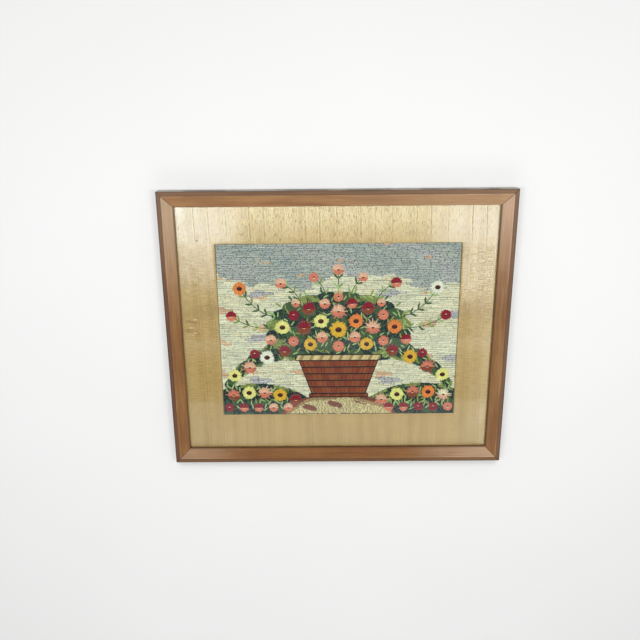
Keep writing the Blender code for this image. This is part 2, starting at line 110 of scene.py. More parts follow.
class Finish:
    # one material, or the world: set() gives values and links to its shader, and node() adds every
    # other node
    def __init__(self, name, group=bpy.data.materials, shader="Principled BSDF", **fixed):
        self.material = group.new(name)
        self.material.use_nodes = True
        self.tree = self.material.node_tree
        self.shader = self.tree.nodes[shader]
        self.set(**fixed)

    def node(self, kind, settings=(), sockets=(), out=0):
        made = self.tree.nodes.new(kind)
        for key, value in dict(settings).items():
            if key == "stops":
                for element, (position, colour) in zip(made.color_ramp.elements, value):
                    element.position, element.color = position, rgba(colour)
            else:
                setattr(made, key, value)
        for key, value in dict(sockets).items():
            self.feed(made.inputs[key], value)
        return Sock(self, made.outputs[out])

    def feed(self, socket, value):
        # a colour worked out with numpy gets its alpha here
        if isinstance(value, Sock):
            self.tree.links.new(value.socket, socket)
        else:
            socket.default_value = rgba(value) if isinstance(value, np.ndarray) else value

    def set(self, **values):
        for key, value in values.items():
            self.feed(self.shader.inputs[key.replace("_", " ")], value)
        return self.material

    def math(self, operation, *values):
        return self.node("ShaderNodeMath", {"operation": operation}, dict(enumerate(values)))

    def place(self):
        # object coordinates in millimetres, as three sockets
        point = self.node("ShaderNodeTexCoord", out="Object")
        axes = [self.node("ShaderNodeSeparateXYZ", (), {0: point}, out=i) for i in range(3)]
        return [axis * 1000.0 for axis in axes]

    def vector(self, x, y, z=0.0):
        return self.node("ShaderNodeCombineXYZ", (), {0: x, 1: y, 2: z})

    def noise(self, x, y, z=0.0, detail=3.0, roughness=0.5, scale=1.0):
        point = self.vector(x, y, z)
        sockets = {"Vector": point, "Scale": scale, "Detail": detail, "Roughness": roughness}
        return self.node("ShaderNodeTexNoise", (), sockets)

    def step(self, value, low, high):
        # 0 below low, 1 above high, and a smooth rise between
        settings = {"interpolation_type": "SMOOTHSTEP"}
        return self.node("ShaderNodeMapRange", settings, {0: value, 1: low, 2: high})

    def near(self, value, inner, outer):
        # 1 while the value is less than inner from zero, and 0 beyond outer
        return 1 - self.step(abs(value), inner, outer)

    def mix(self, share, first, second, blend="MIX"):
        settings = {"data_type": "RGBA", "blend_type": blend}
        return self.node("ShaderNodeMix", settings, {0: share, 6: first, 7: second}, out=2)

    def shaded(self, colour, shade):
        # the colour made lighter or darker by a factor
        return self.mix(1.0, colour, self.vector(shade, shade, shade), "MULTIPLY")

    def layers(self, colour, *above):
        # each layer is the share in which its colour covers what lies under it, and that colour
        for share, hue in above:
            colour = self.mix(share, colour, hue)
        return colour

    def bump(self, height, distance, strength):
        sockets = {"Height": height, "Distance": distance, "Strength": strength}
        return self.node("ShaderNodeBump", (), sockets)


def dress(node, material):
    # a CAD node that stays keeps its mesh and gets this material
    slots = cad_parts[node].data.materials
    slots.clear()
    slots.append(material)


# Mesh helpers

def gridQuads(rows, columns, closeRows=False, closeColumns=False):
    # corner numbers of each cell of a grid; a closed direction joins its last line to its first
    r, c = np.meshgrid(
        np.arange(rows - (not closeRows)), np.arange(columns - (not closeColumns)), indexing="ij"
    )
    nextRow, nextColumn = (r + 1) % rows, (c + 1) % columns
    corners = [
        r * columns + c,
        r * columns + nextColumn,
        nextRow * columns + nextColumn,
        nextRow * columns + c,
    ]
    return np.stack(corners, axis=-1).reshape(-1, 4)


def addPiece(name, points, faceSets, material, uv=None, colours=None):
    # points in metres; each face set is an array of faces with the same number of corners
    mesh = bpy.data.meshes.new(name)
    corners = np.concatenate([faces.ravel() for faces in faceSets]).astype(np.int32)
    sizes = np.concatenate([np.full(len(faces), faces.shape[1]) for faces in faceSets])
    starts = np.concatenate([[0], np.cumsum(sizes)[:-1]]).astype(np.int32)
    mesh.vertices.add(len(points))
    mesh.vertices.foreach_set("co", points.astype(np.float32).ravel())
    mesh.loops.add(len(corners))
    mesh.loops.foreach_set("vertex_index", corners)
    mesh.polygons.add(len(sizes))
    mesh.polygons.foreach_set("loop_start", starts)
    mesh.update(calc_edges=True)
    if uv is not None:
        layer = mesh.uv_layers.new(name="yarn")
        layer.data.foreach_set("uv", uv[corners].astype(np.float32).ravel())
    if colours is not None:
        layer = mesh.attributes.new("yarnColour", "FLOAT_COLOR", "POINT")
        layer.data.foreach_set("color", colours.astype(np.float32).ravel())
    mesh.shade_smooth()
    mesh.materials.append(material)
    piece = bpy.data.objects.new(name, mesh)
    scene.collection.objects.link(piece)
    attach(piece, "root")
    return piece


# Camera: the face's tilt, swing and roll in the photograph, and where the face's middle lies from
# the lens (right, down and away) in frame widths

photoCamera = {
    "tilt": 17.06,
    "swing": 0.27,
    "roll": -0.4235,
    "offset": (0.0512, 0.0423, 1.9592),
    "focalPixels": 672.0,
    "imagePixels": 640.0,
    "sensor": 36.0,
    "nearest": 0.05,
}


def turn(axis, degrees):
    # rotation matrix
    return np.array(Matrix.Rotation(math.radians(degrees), 3, axis))


def setCamera(spec):
    # The photograph's axes run right, down and away; flip turns them into right, up and back.
    # A point p of the face lands at turned(flip p) + offset, so the lens is where that is zero.
    flip = np.diag([1.0, -1.0, -1.0])
    turned = turn("Z", spec["roll"]) @ turn("Y", spec["swing"]) @ turn("X", spec["tilt"])
    width = cadBox[1][0] - cadBox[0][0]
    lens = -flip @ turned.T @ (np.array(spec["offset"]) * width)
    lens[2] += cadBox[1][2]
    place = np.eye(4)
    place[:3, :3] = flip @ turned.T @ flip
    place[:3, 3] = lens
    data = bpy.data.cameras.new("photoCamera")
    data.sensor_width = spec["sensor"]
    data.lens = spec["sensor"] * spec["focalPixels"] / spec["imagePixels"]
    data.clip_start = spec["nearest"]
    camera = bpy.data.objects.new("photoCamera", data)
    camera.matrix_world = Matrix(place.tolist())
    scene.collection.objects.link(camera)
    scene.camera = camera
    return lens


lens = setCamera(photoCamera)
print("camera at", [round(float(v), 3) for v in lens])


# Room: pale floor and walls under a dimmer ceiling, three lamps over the top edge, a wide window
# light from below the picture, one wide lamp and six small ones that light the silk alone, and
# two sheets of glow that the glass mirrors: two soft bands, and a flare in its upper left corner

room = {
    "floorSize": 9.0,
    "floorColour": tone(204, 204, 203),
    "wallGlow": (0.60, 0.61, 0.62),
    "ceilingGlow": (0.10, 0.10, 0.10),
    "ceilingFrom": (0.30, 0.85),   # height on the unit sky where walls end and ceiling begins
    "lamps": [
        {"at": (-0.74, 0.20, 1.50), "size": (0.60, 0.24), "power": 10.0, "on": "allButSilk"},
        {"at": (0.72, 0.21, 1.50), "size": (0.60, 0.24), "power": 11.0, "on": "allButSilk"},
        {"at": (0.0, 0.24, 1.50), "size": (0.70, 0.20), "power": 4.0, "on": "allButSilk"},
        {"at": (-0.05, -2.25, 1.30), "tilt": 60, "size": (2.2, 1.1), "power": 17.0, "on": "all"},
        {"at": (0.0, 0.50, 1.50), "size": (2.40, 0.83), "power": 29.4},
        {"at": (-0.493, -0.150, 1.50), "size": (0.255, 0.268), "power": 0.74},
        {"at": (0.560, -0.186, 1.50), "size": (0.278, 0.345), "power": 1.06},
        {"at": (0.039, 0.002, 1.50), "size": (1.343, 0.115), "power": 2.05,
         "hue": (1.0, 0.98, 0.78)},
        {"at": (-0.548, -0.022, 1.50), "size": (0.180, 0.140), "power": 1.65,
         "hue": (0.86, 0.93, 1.0)},
        {"at": (0.610, -0.080, 1.50), "size": (0.300, 0.160), "power": 1.75,
         "hue": (0.90, 0.95, 1.0)},
        {"at": (0.840, -0.713, 1.50), "size": (0.347, 0.695), "power": 3.4},
    ],
    "glowHeight": 2.2,
    # metres; near is where the near band grows from nothing to full, and far is the far band,
    # whose near edge is soft
    "bands": {"halfWidth": 1.1, "near": (-0.875, -0.754), "far": (-1.6, -1.10), "soft": 0.012,
              "glow": 0.60},
    "flare": {"at": (-0.757, -0.050), "reach": (0.085, 0.120), "core": 0.15, "glow": 3.0,
              "hue": (0.66, 0.84, 1.0)},
    "floorSun": {"power": 1.75, "softness": 24, "tilt": -42, "on": "floor"},
}
# what a lamp shines on; the glass mirrors none of them
lit = {name: bpy.data.collections.new(name) for name in ("all", "allButSilk", "silk", "floor")}


def flatSheet(name, x0, x1, y0, y1, z):
    # one flat rectangle on the grid of its four corners, facing up
    x, y = np.meshgrid([x0, x1], [y0, y1])
    points = np.stack([x.ravel(), y.ravel(), np.full(4, z)], axis=1)
    mesh = bpy.data.meshes.new(name)
    mesh.from_pydata(points.tolist(), [], [(0, 1, 3, 2)])
    sheet = bpy.data.objects.new(name, mesh)
    scene.collection.objects.link(sheet)
    sheet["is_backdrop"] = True
    return sheet


def leaveOut(group, piece):
    # the lamps of this group don't shine on the piece
    lit[group].objects.link(piece)
    last = len(lit[group].collection_objects) - 1
    lit[group].collection_objects[last].light_linking.link_state = "EXCLUDE"


def hang(name, kind, lamp):
    # a light over the picture, tilted about X, that shines on its own group of pieces
    light = bpy.data.lights.new(name, kind)
    light.energy, light.color = lamp["power"], lamp.get("hue", (1.0, 1.0, 1.0))
    hung = bpy.data.objects.new(name, light)
    hung.location = lamp.get("at", (0, 0, 0))
    hung.rotation_euler = (math.radians(lamp.get("tilt", 0)), 0, 0)
    scene.collection.objects.link(hung)
    hung.light_linking.receiver_collection = lit[lamp.get("on", "silk")]
    return light


def glowSheet(name, corners, strength):
    # a black sheet under the ceiling, without a shadow and unseen by the camera, and its finish
    sheet = flatSheet(name, *corners, room["glowHeight"])
    sheet.visible_camera = sheet.visible_shadow = False
    glow = Finish(name, Emission_Strength=strength, Base_Color=(0, 0, 0, 1))
    return sheet, glow, *glow.place()[:2]


def makeRoom(spec):
    for group in ("all", "allButSilk"):
        leaveOut(group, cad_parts["glass"])
    half = spec["floorSize"] / 2
    floor = flatSheet("floor", -half, half, -half, half, 0.0)
    paint = Finish("floorPaint", Roughness=0.62)
    x, y = paint.place()[:2]
    cloud = paint.noise(x / 300.0, y / 300.0, detail=2.0)
    pale = spec["floorColour"]
    floor.data.materials.append(paint.set(Base_Color=paint.mix(cloud, pale * 0.965, pale)))

    sky = Finish("evenLight", bpy.data.worlds, "Background")
    direction = sky.node("ShaderNodeTexCoord", out="Generated")
    height = sky.node("ShaderNodeSeparateXYZ", (), {0: direction}, out=2)
    stops = zip(spec["ceilingFrom"], (spec["wallGlow"], spec["ceilingGlow"]))
    scene.world = sky.set(Color=sky.node("ShaderNodeValToRGB", {"stops": stops}, {0: height}))

    for number, lamp in enumerate(spec["lamps"]):
        light = hang(f"lamp{number}", "AREA", lamp)
        light.shape = "RECTANGLE"
        light.size, light.size_y = lamp["size"]
    # lights the floor alone, over the top edge, so the bottom edge has a soft shadow
    lit["floor"].objects.link(floor)
    sun = hang("floorSun", "SUN", spec["floorSun"])
    sun.angle = math.radians(spec["floorSun"]["softness"])

    bands = spec["bands"]
    (nearFrom, nearTo), (farFrom, farTo) = bands["near"], bands["far"]
    corners = -bands["halfWidth"], bands["halfWidth"], farFrom, nearTo
    sheet, glow, x, y = glowSheet("bandsGlow", corners, bands["glow"])
    band = glow.step(y, nearFrom / mm, nearTo / mm)
    band = band + 1 - glow.step(y, (farTo - bands["soft"]) / mm, farTo / mm)
    sheet.data.materials.append(glow.set(Emission_Color=glow.vector(band, band, band)))

    flare = spec["flare"]
    (atX, atY), (reachX, reachY) = flare["at"], flare["reach"]
    corners = atX - reachX, atX + reachX, atY - reachY, atY + reachY
    sheet, glow, x, y = glowSheet("flareGlow", corners, flare["glow"])
    acrossX, acrossY = (x * mm - atX) / reachX, (y * mm - atY) / reachY
    patch = 1 - glow.step((acrossX ** 2.0 + acrossY ** 2.0) ** 0.5, flare["core"], 1.0)
    glow.material.cycles.emission_sampling = "NONE"   # seen in the glass, and no light on the room
    sheet.data.materials.append(
        glow.set(Emission_Color=glow.vector(*(patch * share for share in flare["hue"])))
    )


makeRoom(room)
print("room ready")


# Frame rails: stained wood with a darker outer strip and a face that slopes in, with painted light
# and shade that differ from rail to rail and a painted sheen that grows towards the ends

wood = {
    "face": tone(136, 92, 50),
    "red": tone(124, 77, 42),
    "gold": tone(150, 107, 60),
    "edge": tone(64, 50, 44),
    "lip": tone(84, 58, 38),
    "sideReflection": tone(184, 177, 165),
    "shoulder": 7.6,      # mm from the outer side to the arris
    "sight": 27.0,
    "fibre": (60.0, 1.5),  # mm along and across the grain
    "pore": (9.0, 0.5),
    "cloud": (110.0, 9.0),
    "patch": 55.0,
    # mm from the middle of each dark line, or worn and highlighted line, at which it begins to
    # fade and is gone
    "outerLine": (0.6, 2.4),
    "groove": (0.3, 1.1),
    "arris": (0.2, 1.0),
    "mitre": (0.5, 1.3),
    # what each rail is tinted by, which is painted light and shade, its outer strip's colour, the
    # strength and reach of the painted sheen at its two ends, the sheen's pale colour, and how
    # dark the painted shade is along its sight edge
    "rails": {
        "rail_top": {"along": "x", "seed": 1.7, "coat": 0.15, "tint": (1.12, 1.24, 1.50),
                     "strip": tone(117, 86, 60), "paintedSheen": ((0.08, 120), (0.52, 400)),
                     "pale": tone(184, 152, 118), "lip": 0.0, "reflectsWall": True},
        "rail_bottom": {"along": "x", "seed": 5.2, "coat": 0.05, "tint": (0.84, 0.76, 0.54),
                        "strip": tone(108, 74, 44), "paintedSheen": ((0.60, 150), (0.95, 195)),
                        "pale": tone(176, 143, 110), "lip": 0.70},
        "rail_left": {"along": "y", "seed": 8.9, "coat": 0.12, "tint": (0.98, 1.05, 1.10),
                      "strip": tone(102, 69, 50), "paintedSheen": ((0.0, 1), (0.88, 240)),
                      "pale": tone(182, 153, 121), "lip": 0.62},
        "rail_right": {"along": "y", "seed": 12.4, "coat": 0.12, "tint": (0.97, 1.08, 1.30),
                       "strip": tone(113, 83, 61), "paintedSheen": ((0.0, 1), (0.92, 205)),
                       "pale": tone(186, 154, 127), "lip": 0.75},
    },
}


def railFinish(name, spec, rail, halfSizes):
    # grain runs along the rail; across counts from the outer side to the sight edge
    finish = Finish(name, Coat_Weight=rail["coat"], Coat_Roughness=0.26,
                    Specular_IOR_Level=0.5 * rail["coat"] + 0.15)
    seed, shoulder = rail["seed"], spec["shoulder"]
    x, y, z = finish.place()
    along, side = (x, y) if rail["along"] == "x" else (y, x)
    halfAlong, halfSide = halfSizes if rail["along"] == "x" else halfSizes[::-1]
    across = halfSide / mm - abs(side)
    fromEnd = halfAlong / mm - abs(along)

    def grain(lengths, detail, turned=0.0):
        return finish.noise(along / lengths[0] + seed, across / lengths[1] + turned,
                            z / lengths[1], detail, 0.62)

    fibre = grain(spec["fibre"], 5.0)
    pore = finish.step(grain(spec["pore"], 2.0, 9.0), 0.60, 0.72)
    cloud = finish.step(grain(spec["cloud"], 3.0, 3.0), 0.34, 0.66)
    patch = finish.step(finish.noise(along / spec["patch"], seed), 0.35, 0.65)
    colour = finish.mix(cloud, spec["red"], spec["gold"])
    colour = finish.mix(0.45, colour, spec["face"])
    # the rail's tint is painted light and shade: lighter and cooler on the top rail, darker on the
    # bottom
    colour = finish.mix(1.0, colour, rgba(rail["tint"]), "MULTIPLY")
    # a painted sheen in the rail's pale colour, growing towards the rail's ends
    paintedSheen = 0.0
    for sign, (strength, reach) in zip((-1, 1), rail["paintedSheen"]):
        if strength:
            away = halfAlong / mm - along * sign
            fade = 1 - finish.step(away + (patch - 0.5) * 30.0, 20.0, reach)
            paintedSheen = finish.math("MAXIMUM", paintedSheen, fade * strength)
    colour = finish.mix(paintedSheen, colour, rail["pale"])
    contrast = finish.node("ShaderNodeMapRange", (), {0: fibre, 1: 0.3, 2: 0.7, 3: 0.82, 4: 1.15})
    colour = finish.shaded(colour, contrast * (0.94 + patch * 0.10))

    ragged = across + (fibre - 0.5) * 1.2
    strip = 1 - finish.step(ragged, shoulder - 0.3, shoulder + 0.5)
    stain = finish.mix(cloud * 0.6 + fibre * 0.4, rail["strip"] * 0.75, rail["strip"] * 1.20)
    groove = finish.near(ragged - shoulder + 0.5, *spec["groove"])
    # a pale line along the arris, partly wear and partly painted highlight, stronger where the
    # painted sheen is
    arrisWearAndHighlight = finish.near(across - (shoulder + 1.2), *spec["arris"])
    arrisWearAndHighlight = arrisWearAndHighlight * finish.step(fibre * 0.5 + patch * 0.5, 0.35, 0.65) * (0.12 + paintedSheen * 0.75)
    # painted shade along the sight edge; none on the top rail
    lip = finish.step(across, spec["sight"] - 2.6, spec["sight"] - 1.4)
    colour = finish.layers(
        colour,
        (strip, finish.mix(paintedSheen * 0.16, stain, rail["pale"])),
        (finish.near(ragged, *spec["outerLine"]) * 0.70, spec["edge"]),
        (groove * 0.30, spec["edge"]),
        (arrisWearAndHighlight, rail["pale"] * 1.15),
        (lip * rail["lip"], spec["lip"]),
        (finish.near(fromEnd - across, *spec["mitre"]) * 0.55, spec["edge"]),
        (pore * 0.22, spec["edge"]),
    )
    if "reflectsWall" in rail:
        # a patchy grey painted reflection of a bright wall on the rail's outer side
        reflectionShare = finish.step(patch * 0.4 + fibre * 0.6, 0.32, 0.68) * 0.45 + 0.32
        colour = finish.mix((1 - finish.step(across, 0.05, 0.9)) * reflectionShare, colour, spec["sideReflection"])
    relief = fibre * 0.6 - pore * 0.8 - groove * 0.8
    gloss = 0.40 + fibre * 0.22 + strip * 0.08
    return finish.set(
        Base_Color=colour, Roughness=gloss, Normal=finish.bump(relief, 0.00015, 0.5)
    )


def finishRails(spec):
    for node, rail in spec["rails"].items():
        dress(node, railFinish("wood_" + node, spec, rail, cadBox[1][:2]))


finishRails(wood)
print("rails finished")


# Glass: clear, with the reflection of both faces on the one that is looked at

glass = {"tint": (0.985, 0.995, 0.988, 1.0), "index": 1.5, "faces": 1.7, "roughness": 0.035}


def finishGlass(spec):
    finish = Finish("clearGlass")
    clear = finish.node("ShaderNodeBsdfTransparent", (), {0: spec["tint"]})
    shine = finish.node("ShaderNodeBsdfGlossy", (), {"Roughness": spec["roughness"]})
    mirror = finish.node("ShaderNodeFresnel", (), {"IOR": spec["index"]})
    front = 1 - finish.node("ShaderNodeNewGeometry", out="Backfacing")
    share = finish.math("MINIMUM", mirror * spec["faces"], 1.0) * front
    both = finish.node("ShaderNodeMixShader", (), {0: share, 1: clear, 2: shine})
    finish.feed(finish.tree.nodes["Material Output"].inputs["Surface"], both)
    finish.tree.nodes.remove(finish.shader)
    dress("glass", finish.material)


finishGlass(glass)
print("glass finished")


# Mat: silk over board, with paired lines and slubs, turned over the rounded window edge

mat = {
    "silk": tone(162, 136, 80),
    "silkPale": tone(190, 164, 104),
    "silkDeep": tone(128, 101, 53),
    "silkWarm": tone(181, 143, 91),
    "speck": tone(118, 80, 46),
    # the colour of the painted highlights on ripples beside the slubs
    "rim": tone(214, 184, 138),
    "silkHighlight": tone(212, 194, 152),
    "silkCornerHighlight": tone(186, 170, 152),
    "silkShade": tone(122, 88, 30),
    "turned": tone(112, 98, 70),   # painted shade where the silk turns down at the window
    "windowHalf": (211.0, 158.5),
    "windowShift": 2.0,
    "edgeRadius": 0.8,
    "arcSteps": 5,
    "sideSteps": 70,
    "topSteps": 14,
    "ripple": 0.12,
    "swell": (21, 47, 33),   # mm a radian: across the mat, its wander, and up the mat
    # mm up the mat, or sideways from its middle, from where to where each part of it sets in
    "upper": (145.0, 190.0),
    "white": (140.0, 168.0),
    "clearer": (-40.0, 50.0),
    "below": (-120.0, -20.0),
    "lower": (-185.0, -150.0),
    "corner": (140.0, 215.0),
    "repeat": 94.1,        # mm between the starts of the woven stripe, which has three lines
    "lines": ((-54.2, 0.80), (-29.9, 0.70), (-0.6, 0.55)),   # place and strength of each
    "shadeBand": (40.0, 27.0, 0.42),   # middle, half height and strength of a band of painted shade across the silk
    "darkLine": (0.4, 1.3),      # mm from its middle at which a line begins to fade and is gone
    "paleLine": (0.5, 1.5),
    "paleShift": 2.3,
    "lean": 0.019,
    "warp": (1.6, 60.0),   # mm across and along the streaks
    "streak": (4.2, 200.0),
    "thin": (1.5, 150.0),
    "weft": (15.0, 1.5),
    "dash": (1.5, 10.0),
    "blotch": (13.0, 17.0),
    "cloud": (70.0, 90.0),
    "broken": (40.0, 14.0),
    "drift": 60.0,
    "slubs": [             # x, y, half length, half height, turn and strength of the brown flecks
        (-239.3, 165.0, 2.9, 2.4, 20, 0.85), (-222.6, 168.0, 3.4, 1.2, 0, 0.5),
        (-235.5, 170.5, 8.0, 6.0, 30, 0.22), (-2.2, 197.3, 1.3, 1.5, 0, 0.7),
        (2.0, 197.3, 1.4, 1.7, 0, 0.8), (229.8, 183.6, 2.0, 1.6, 0, 0.5),
        (213.2, -192.5, 2.4, 2.0, 0, 0.35), (220.3, -116.6, 2.0, 2.0, 0, 0.35),
        (-258.0, 21.0, 13.0, 2.3, -16, 0.55), (-261.5, 5.0, 9.5, 3.0, 0, 0.45),
        (-257.0, 0.9, 13.5, 1.4, -3, 0.60), (-246.5, -0.5, 3.0, 3.0, 0, 0.40),
    ],
    "glints": [            # painted highlights on ripples beside them
        (-250.0, 24.6, 4.5, 1.2, 0, 0.75), (-258.5, 9.8, 4.0, 1.1, 0, 0.75),
        (-251.5, 0.2, 4.5, 1.1, 0, 0.80), (-255.5, -4.2, 3.0, 1.0, 0, 0.50),
    ],
}


def matPoints(spec, low, high):
    # Round the ring, u goes once about the four sides; across it, t goes from the outer rectangle
    # to the window. The profile climbs the outer side, crosses the top, rounds over the window's
    # edge by a quarter circle and comes back underneath.
    halfX, halfY = high[0], high[1]
    shift = spec["windowShift"] * mm
    openX, openY = (v * mm for v in spec["windowHalf"])
    outer = np.array([[-halfX, -halfY], [halfX, -halfY], [halfX, halfY], [-halfX, halfY]])
    inner = np.array([[shift - openX, -openY], [shift + openX, -openY],
                      [shift + openX, openY], [shift - openX, openY]])
    u = np.arange(4 * spec["sideSteps"]) / spec["sideSteps"]
    side, share = u.astype(int), (u % 1)[:, None]
    outerLine = outer[side] * (1 - share) + outer[(side + 1) % 4] * share
    innerLine = inner[side] * (1 - share) + inner[(side + 1) % 4] * share
    radius = spec["edgeRadius"] * mm
    ringWidth = halfY - openY
    bend = np.linspace(math.pi / 2, 0, spec["arcSteps"] + 1)
    flat = np.linspace(0, 1 - radius / ringWidth, spec["topSteps"] + 1)
    t = np.concatenate([[0], flat[:-1], 1 - radius * (1 - np.cos(bend)) / ringWidth, [1]])
    z = np.concatenate([
        [low[2]], np.full(len(flat) - 1, high[2]), high[2] - radius * (1 - np.sin(bend)), [low[2]],
    ])
    xy = outerLine[:, None] * (1 - t[None, :, None]) + innerLine[:, None] * t[None, :, None]
    x, y = xy[..., 0], xy[..., 1]
    across, wander, along = spec["swell"]
    swell = np.sin(x / mm / across + 1.3 * np.sin(y / mm / wander)) * np.sin(y / mm / along + 0.7)
    onTop = (np.sin(np.pi * np.clip(t, 0, 1)) * (z > high[2] - 1e-7))[None, :]
    zAll = np.broadcast_to(z, x.shape) - spec["ripple"] * mm * (0.5 + 0.5 * swell) * onTop
    return np.stack([x, y, zAll], axis=-1)


def silkFinish(spec, top):
    # top is the height in mm of the mat's face
    finish = Finish("goldenSilk", IOR=1.5, Specular_Tint=(1.0, 0.95, 0.84, 1.0),
                    Coat_Roughness=0.13, Coat_IOR=2.0)
    x, y, z = finish.place()

    def threads(name, seed, detail=3.0, roughness=0.6):
        across, along = spec[name]
        return finish.noise(x / across, y / along, seed, detail, roughness)

    warp, streak, thin = threads("warp", 0.0), threads("streak", 2.0), threads("thin", 17.0)
    weft = threads("weft", 4.0, 1.0)
    cloud = threads("cloud", 7.0, 2.0, 0.5)
    blotch = threads("blotch", 15.0)
    dash = finish.step(threads("dash", 11.0, 1.0), 0.54, 0.68)
    # pale ticks of painted highlight
    glint = finish.step(threads("dash", 13.0, 1.0), 0.56, 0.70)
    upper = finish.step(y, *spec["upper"])
    lower = 1 - finish.step(y, *spec["lower"])
    below = 1 - finish.step(y, *spec["below"])
    corner = finish.step(abs(x), *spec["corner"]) * upper
    # the threads' marks grow stronger towards the top, where the sheen falls, and weaker in its
    # corners: part of this contrast is painted sheen
    fine = 0.10 + finish.step(y, *spec["clearer"]) * 0.30 + upper * 0.60 - corner * 0.50
    clear = 0.30 + upper * 0.70

    # the woven stripe: dark lines, each with a pale line close to its left and a faint dark band
    # beyond that
    drift = (finish.noise(0.5, y / spec["drift"], 5.0) - 0.5) * 1.6
    straight = x + (y - 200.0) * spec["lean"] + drift
    broken = finish.step(threads("broken", 9.0, roughness=0.5), 0.32, 0.50) * clear
    dark, light = 0.0, 0.0
    for place, strength in spec["lines"]:
        turns = finish.math("FRACT", (straight - place) / spec["repeat"] + 0.5 + 8.0)
        away = (turns - 0.5) * spec["repeat"]
        band = finish.step(away, -17.0, -9.0) * (1 - finish.step(away, -2.5, 0.0))
        dark = dark + finish.near(away, *spec["darkLine"]) * broken * strength
        dark = dark + band * (0.22 * strength)
        pale = finish.near(away + spec["paleShift"], *spec["paleLine"])
        light = light + pale * broken * strength

    # the shares of warp, weft and streak change over the mat; each counts from its middle value
    threadTone = (warp - 0.5) * (0.08 + fine * 0.36)
    threadTone = threadTone + (weft - 0.5) * (0.95 - upper * 0.65 - below * 0.40)
    threadTone = threadTone * (1 - lower * 0.6)
    threadTone = threadTone + (streak - 0.5) * (0.26 + upper * 0.24 - below * 0.12)
    threadTone = threadTone + (thin - 0.5) * (0.04 + below * cloud * 0.46)
    lift = finish.step(threadTone + 0.5, 0.34, 0.66)
    shadeBandY, shadeBandHalf, shadeBandStrength = spec["shadeBand"]
    # a band of painted shade across the silk below its bright top
    shadeBand = finish.near(y - shadeBandY + (cloud - 0.5) * 30.0, 0.0, shadeBandHalf)
    colour = finish.layers(
        finish.mix(lift, spec["silkDeep"], spec["silkPale"]),
        (0.45, spec["silk"]),
        (shadeBand * shadeBandStrength, spec["silkDeep"]),
        (finish.step(cloud, 0.35, 0.75) * 0.20, spec["silkPale"]),
        # painted highlight: the silk made lighter towards the top
        (finish.step(y, *spec["white"]) * 0.30, spec["silkHighlight"]),
        # painted highlight: cooler and paler in the top corners
        (corner * 0.45, spec["silkCornerHighlight"]),
        (finish.step(blotch, 0.35, 0.65) * 0.30, spec["silkWarm"]),
        (dark + dash * fine * 0.85, spec["silkShade"]),
        (light * 0.6 + glint * fine * 0.80, spec["silkPale"] * 1.16),
    )
    # brown flecks, then painted highlights on ripples beside them
    for flecks, hue in ((spec["slubs"], spec["speck"]), (spec["glints"], spec["rim"])):
        marks = 0.0
        for fleckX, fleckY, halfLength, halfHeight, degrees, strength in flecks:
            c, s = math.cos(math.radians(degrees)), math.sin(math.radians(degrees))
            u, v = (x - fleckX) * c + (y - fleckY) * s, (y - fleckY) * c - (x - fleckX) * s
            away = ((u / halfLength) ** 2.0 + (v / halfHeight) ** 2.0) ** 0.5
            mark = 1 - finish.step(away + (warp + weft + streak - 1.5) * 0.9, 0.45, 1.25)
            marks = finish.math("MAXIMUM", marks, mark * strength)
        colour = finish.mix(marks, colour, hue)
    # painted shade where the silk turns down over the window's edge
    turned = 1 - finish.step(z, top - 0.9, top - 0.15)
    colour = finish.mix(turned * 0.55, colour, spec["turned"])
    relief = warp * (0.12 + upper * 0.30 - corner * 0.20)
    relief = relief + weft * (0.65 - upper * 0.40 - below * 0.30)
    relief = relief + streak * 0.5 + blotch * 0.6 + light * 0.8 + glint * fine * 0.4
    relief = relief - dark * 1.1 - dash * fine * 0.5
    coat = finish.step(warp * 0.5 + weft * 0.5, 0.36, 0.62) * (0.7 - corner * 0.5)
    coat = coat + 0.3 + corner * 0.35
    return finish.set(
        Base_Color=colour,
        Roughness=0.36 + warp * 0.12,
        Coat_Weight=coat * finish.step(z, top - 0.35, top - 0.05),
        Normal=finish.bump(relief, 0.0004, 0.6),
    )


def makeMat(spec):
    low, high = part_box("silk_mat")
    points = matPoints(spec, low, high)
    faces = gridQuads(points.shape[0], points.shape[1], True, True)
    finish = silkFinish(spec, high[2] / mm - spec["ripple"])
    piece = addPiece("silkMat", points.reshape(-1, 3), [faces[:, ::-1]], finish)
    piece.data.set_sharp_from_angle(angle=math.radians(50))
    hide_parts("silk_mat")
    width, height = high[0] - low[0], high[1] - low[1]
    opening = 4 * spec["windowHalf"][0] * spec["windowHalf"][1] * mm * mm
    width * height - opening
    lit["silk"].objects.link(piece)
    leaveOut("allButSilk", piece)


makeMat(mat)
print("mat made")


# Yarn: every strand is a half round that rises out of the cloth, runs flat and dips back in

yarn = {
    # share of its drop and of its width that a strand has at each of its stations
    "drop": np.array([1.0, 0.37, 0.05, 0.0, 0.0, 0.05, 0.37, 1.0]),
    "swell": np.array([0.50, 0.82, 0.98, 1.0, 1.0, 0.98, 0.82, 0.50]),
    "dip": 1.1,        # mm over which an end goes down
    "dipShare": 0.3,   # most of a short strand's length that an end's dip takes
    "root": 0.35,      # mm that a strand is sunk
    "bow": 0.10,       # mm of sideways bend
    "around": 5,
    "plump": 0.85,     # under 1 for a section that is fuller than a half circle
    "short": (1.0, 1.2),   # mm under which a strand, or a stitch of a row, is left out
    "uneven": 0.22,    # mm by which the ends of a row's stitches differ
    "twist": (4.2, 2.4),   # mm along and round the strand for one turn of its plies
    "clothTop": 6.1,   # mm from the back of the frame to the linen
    "seed": 11,
}


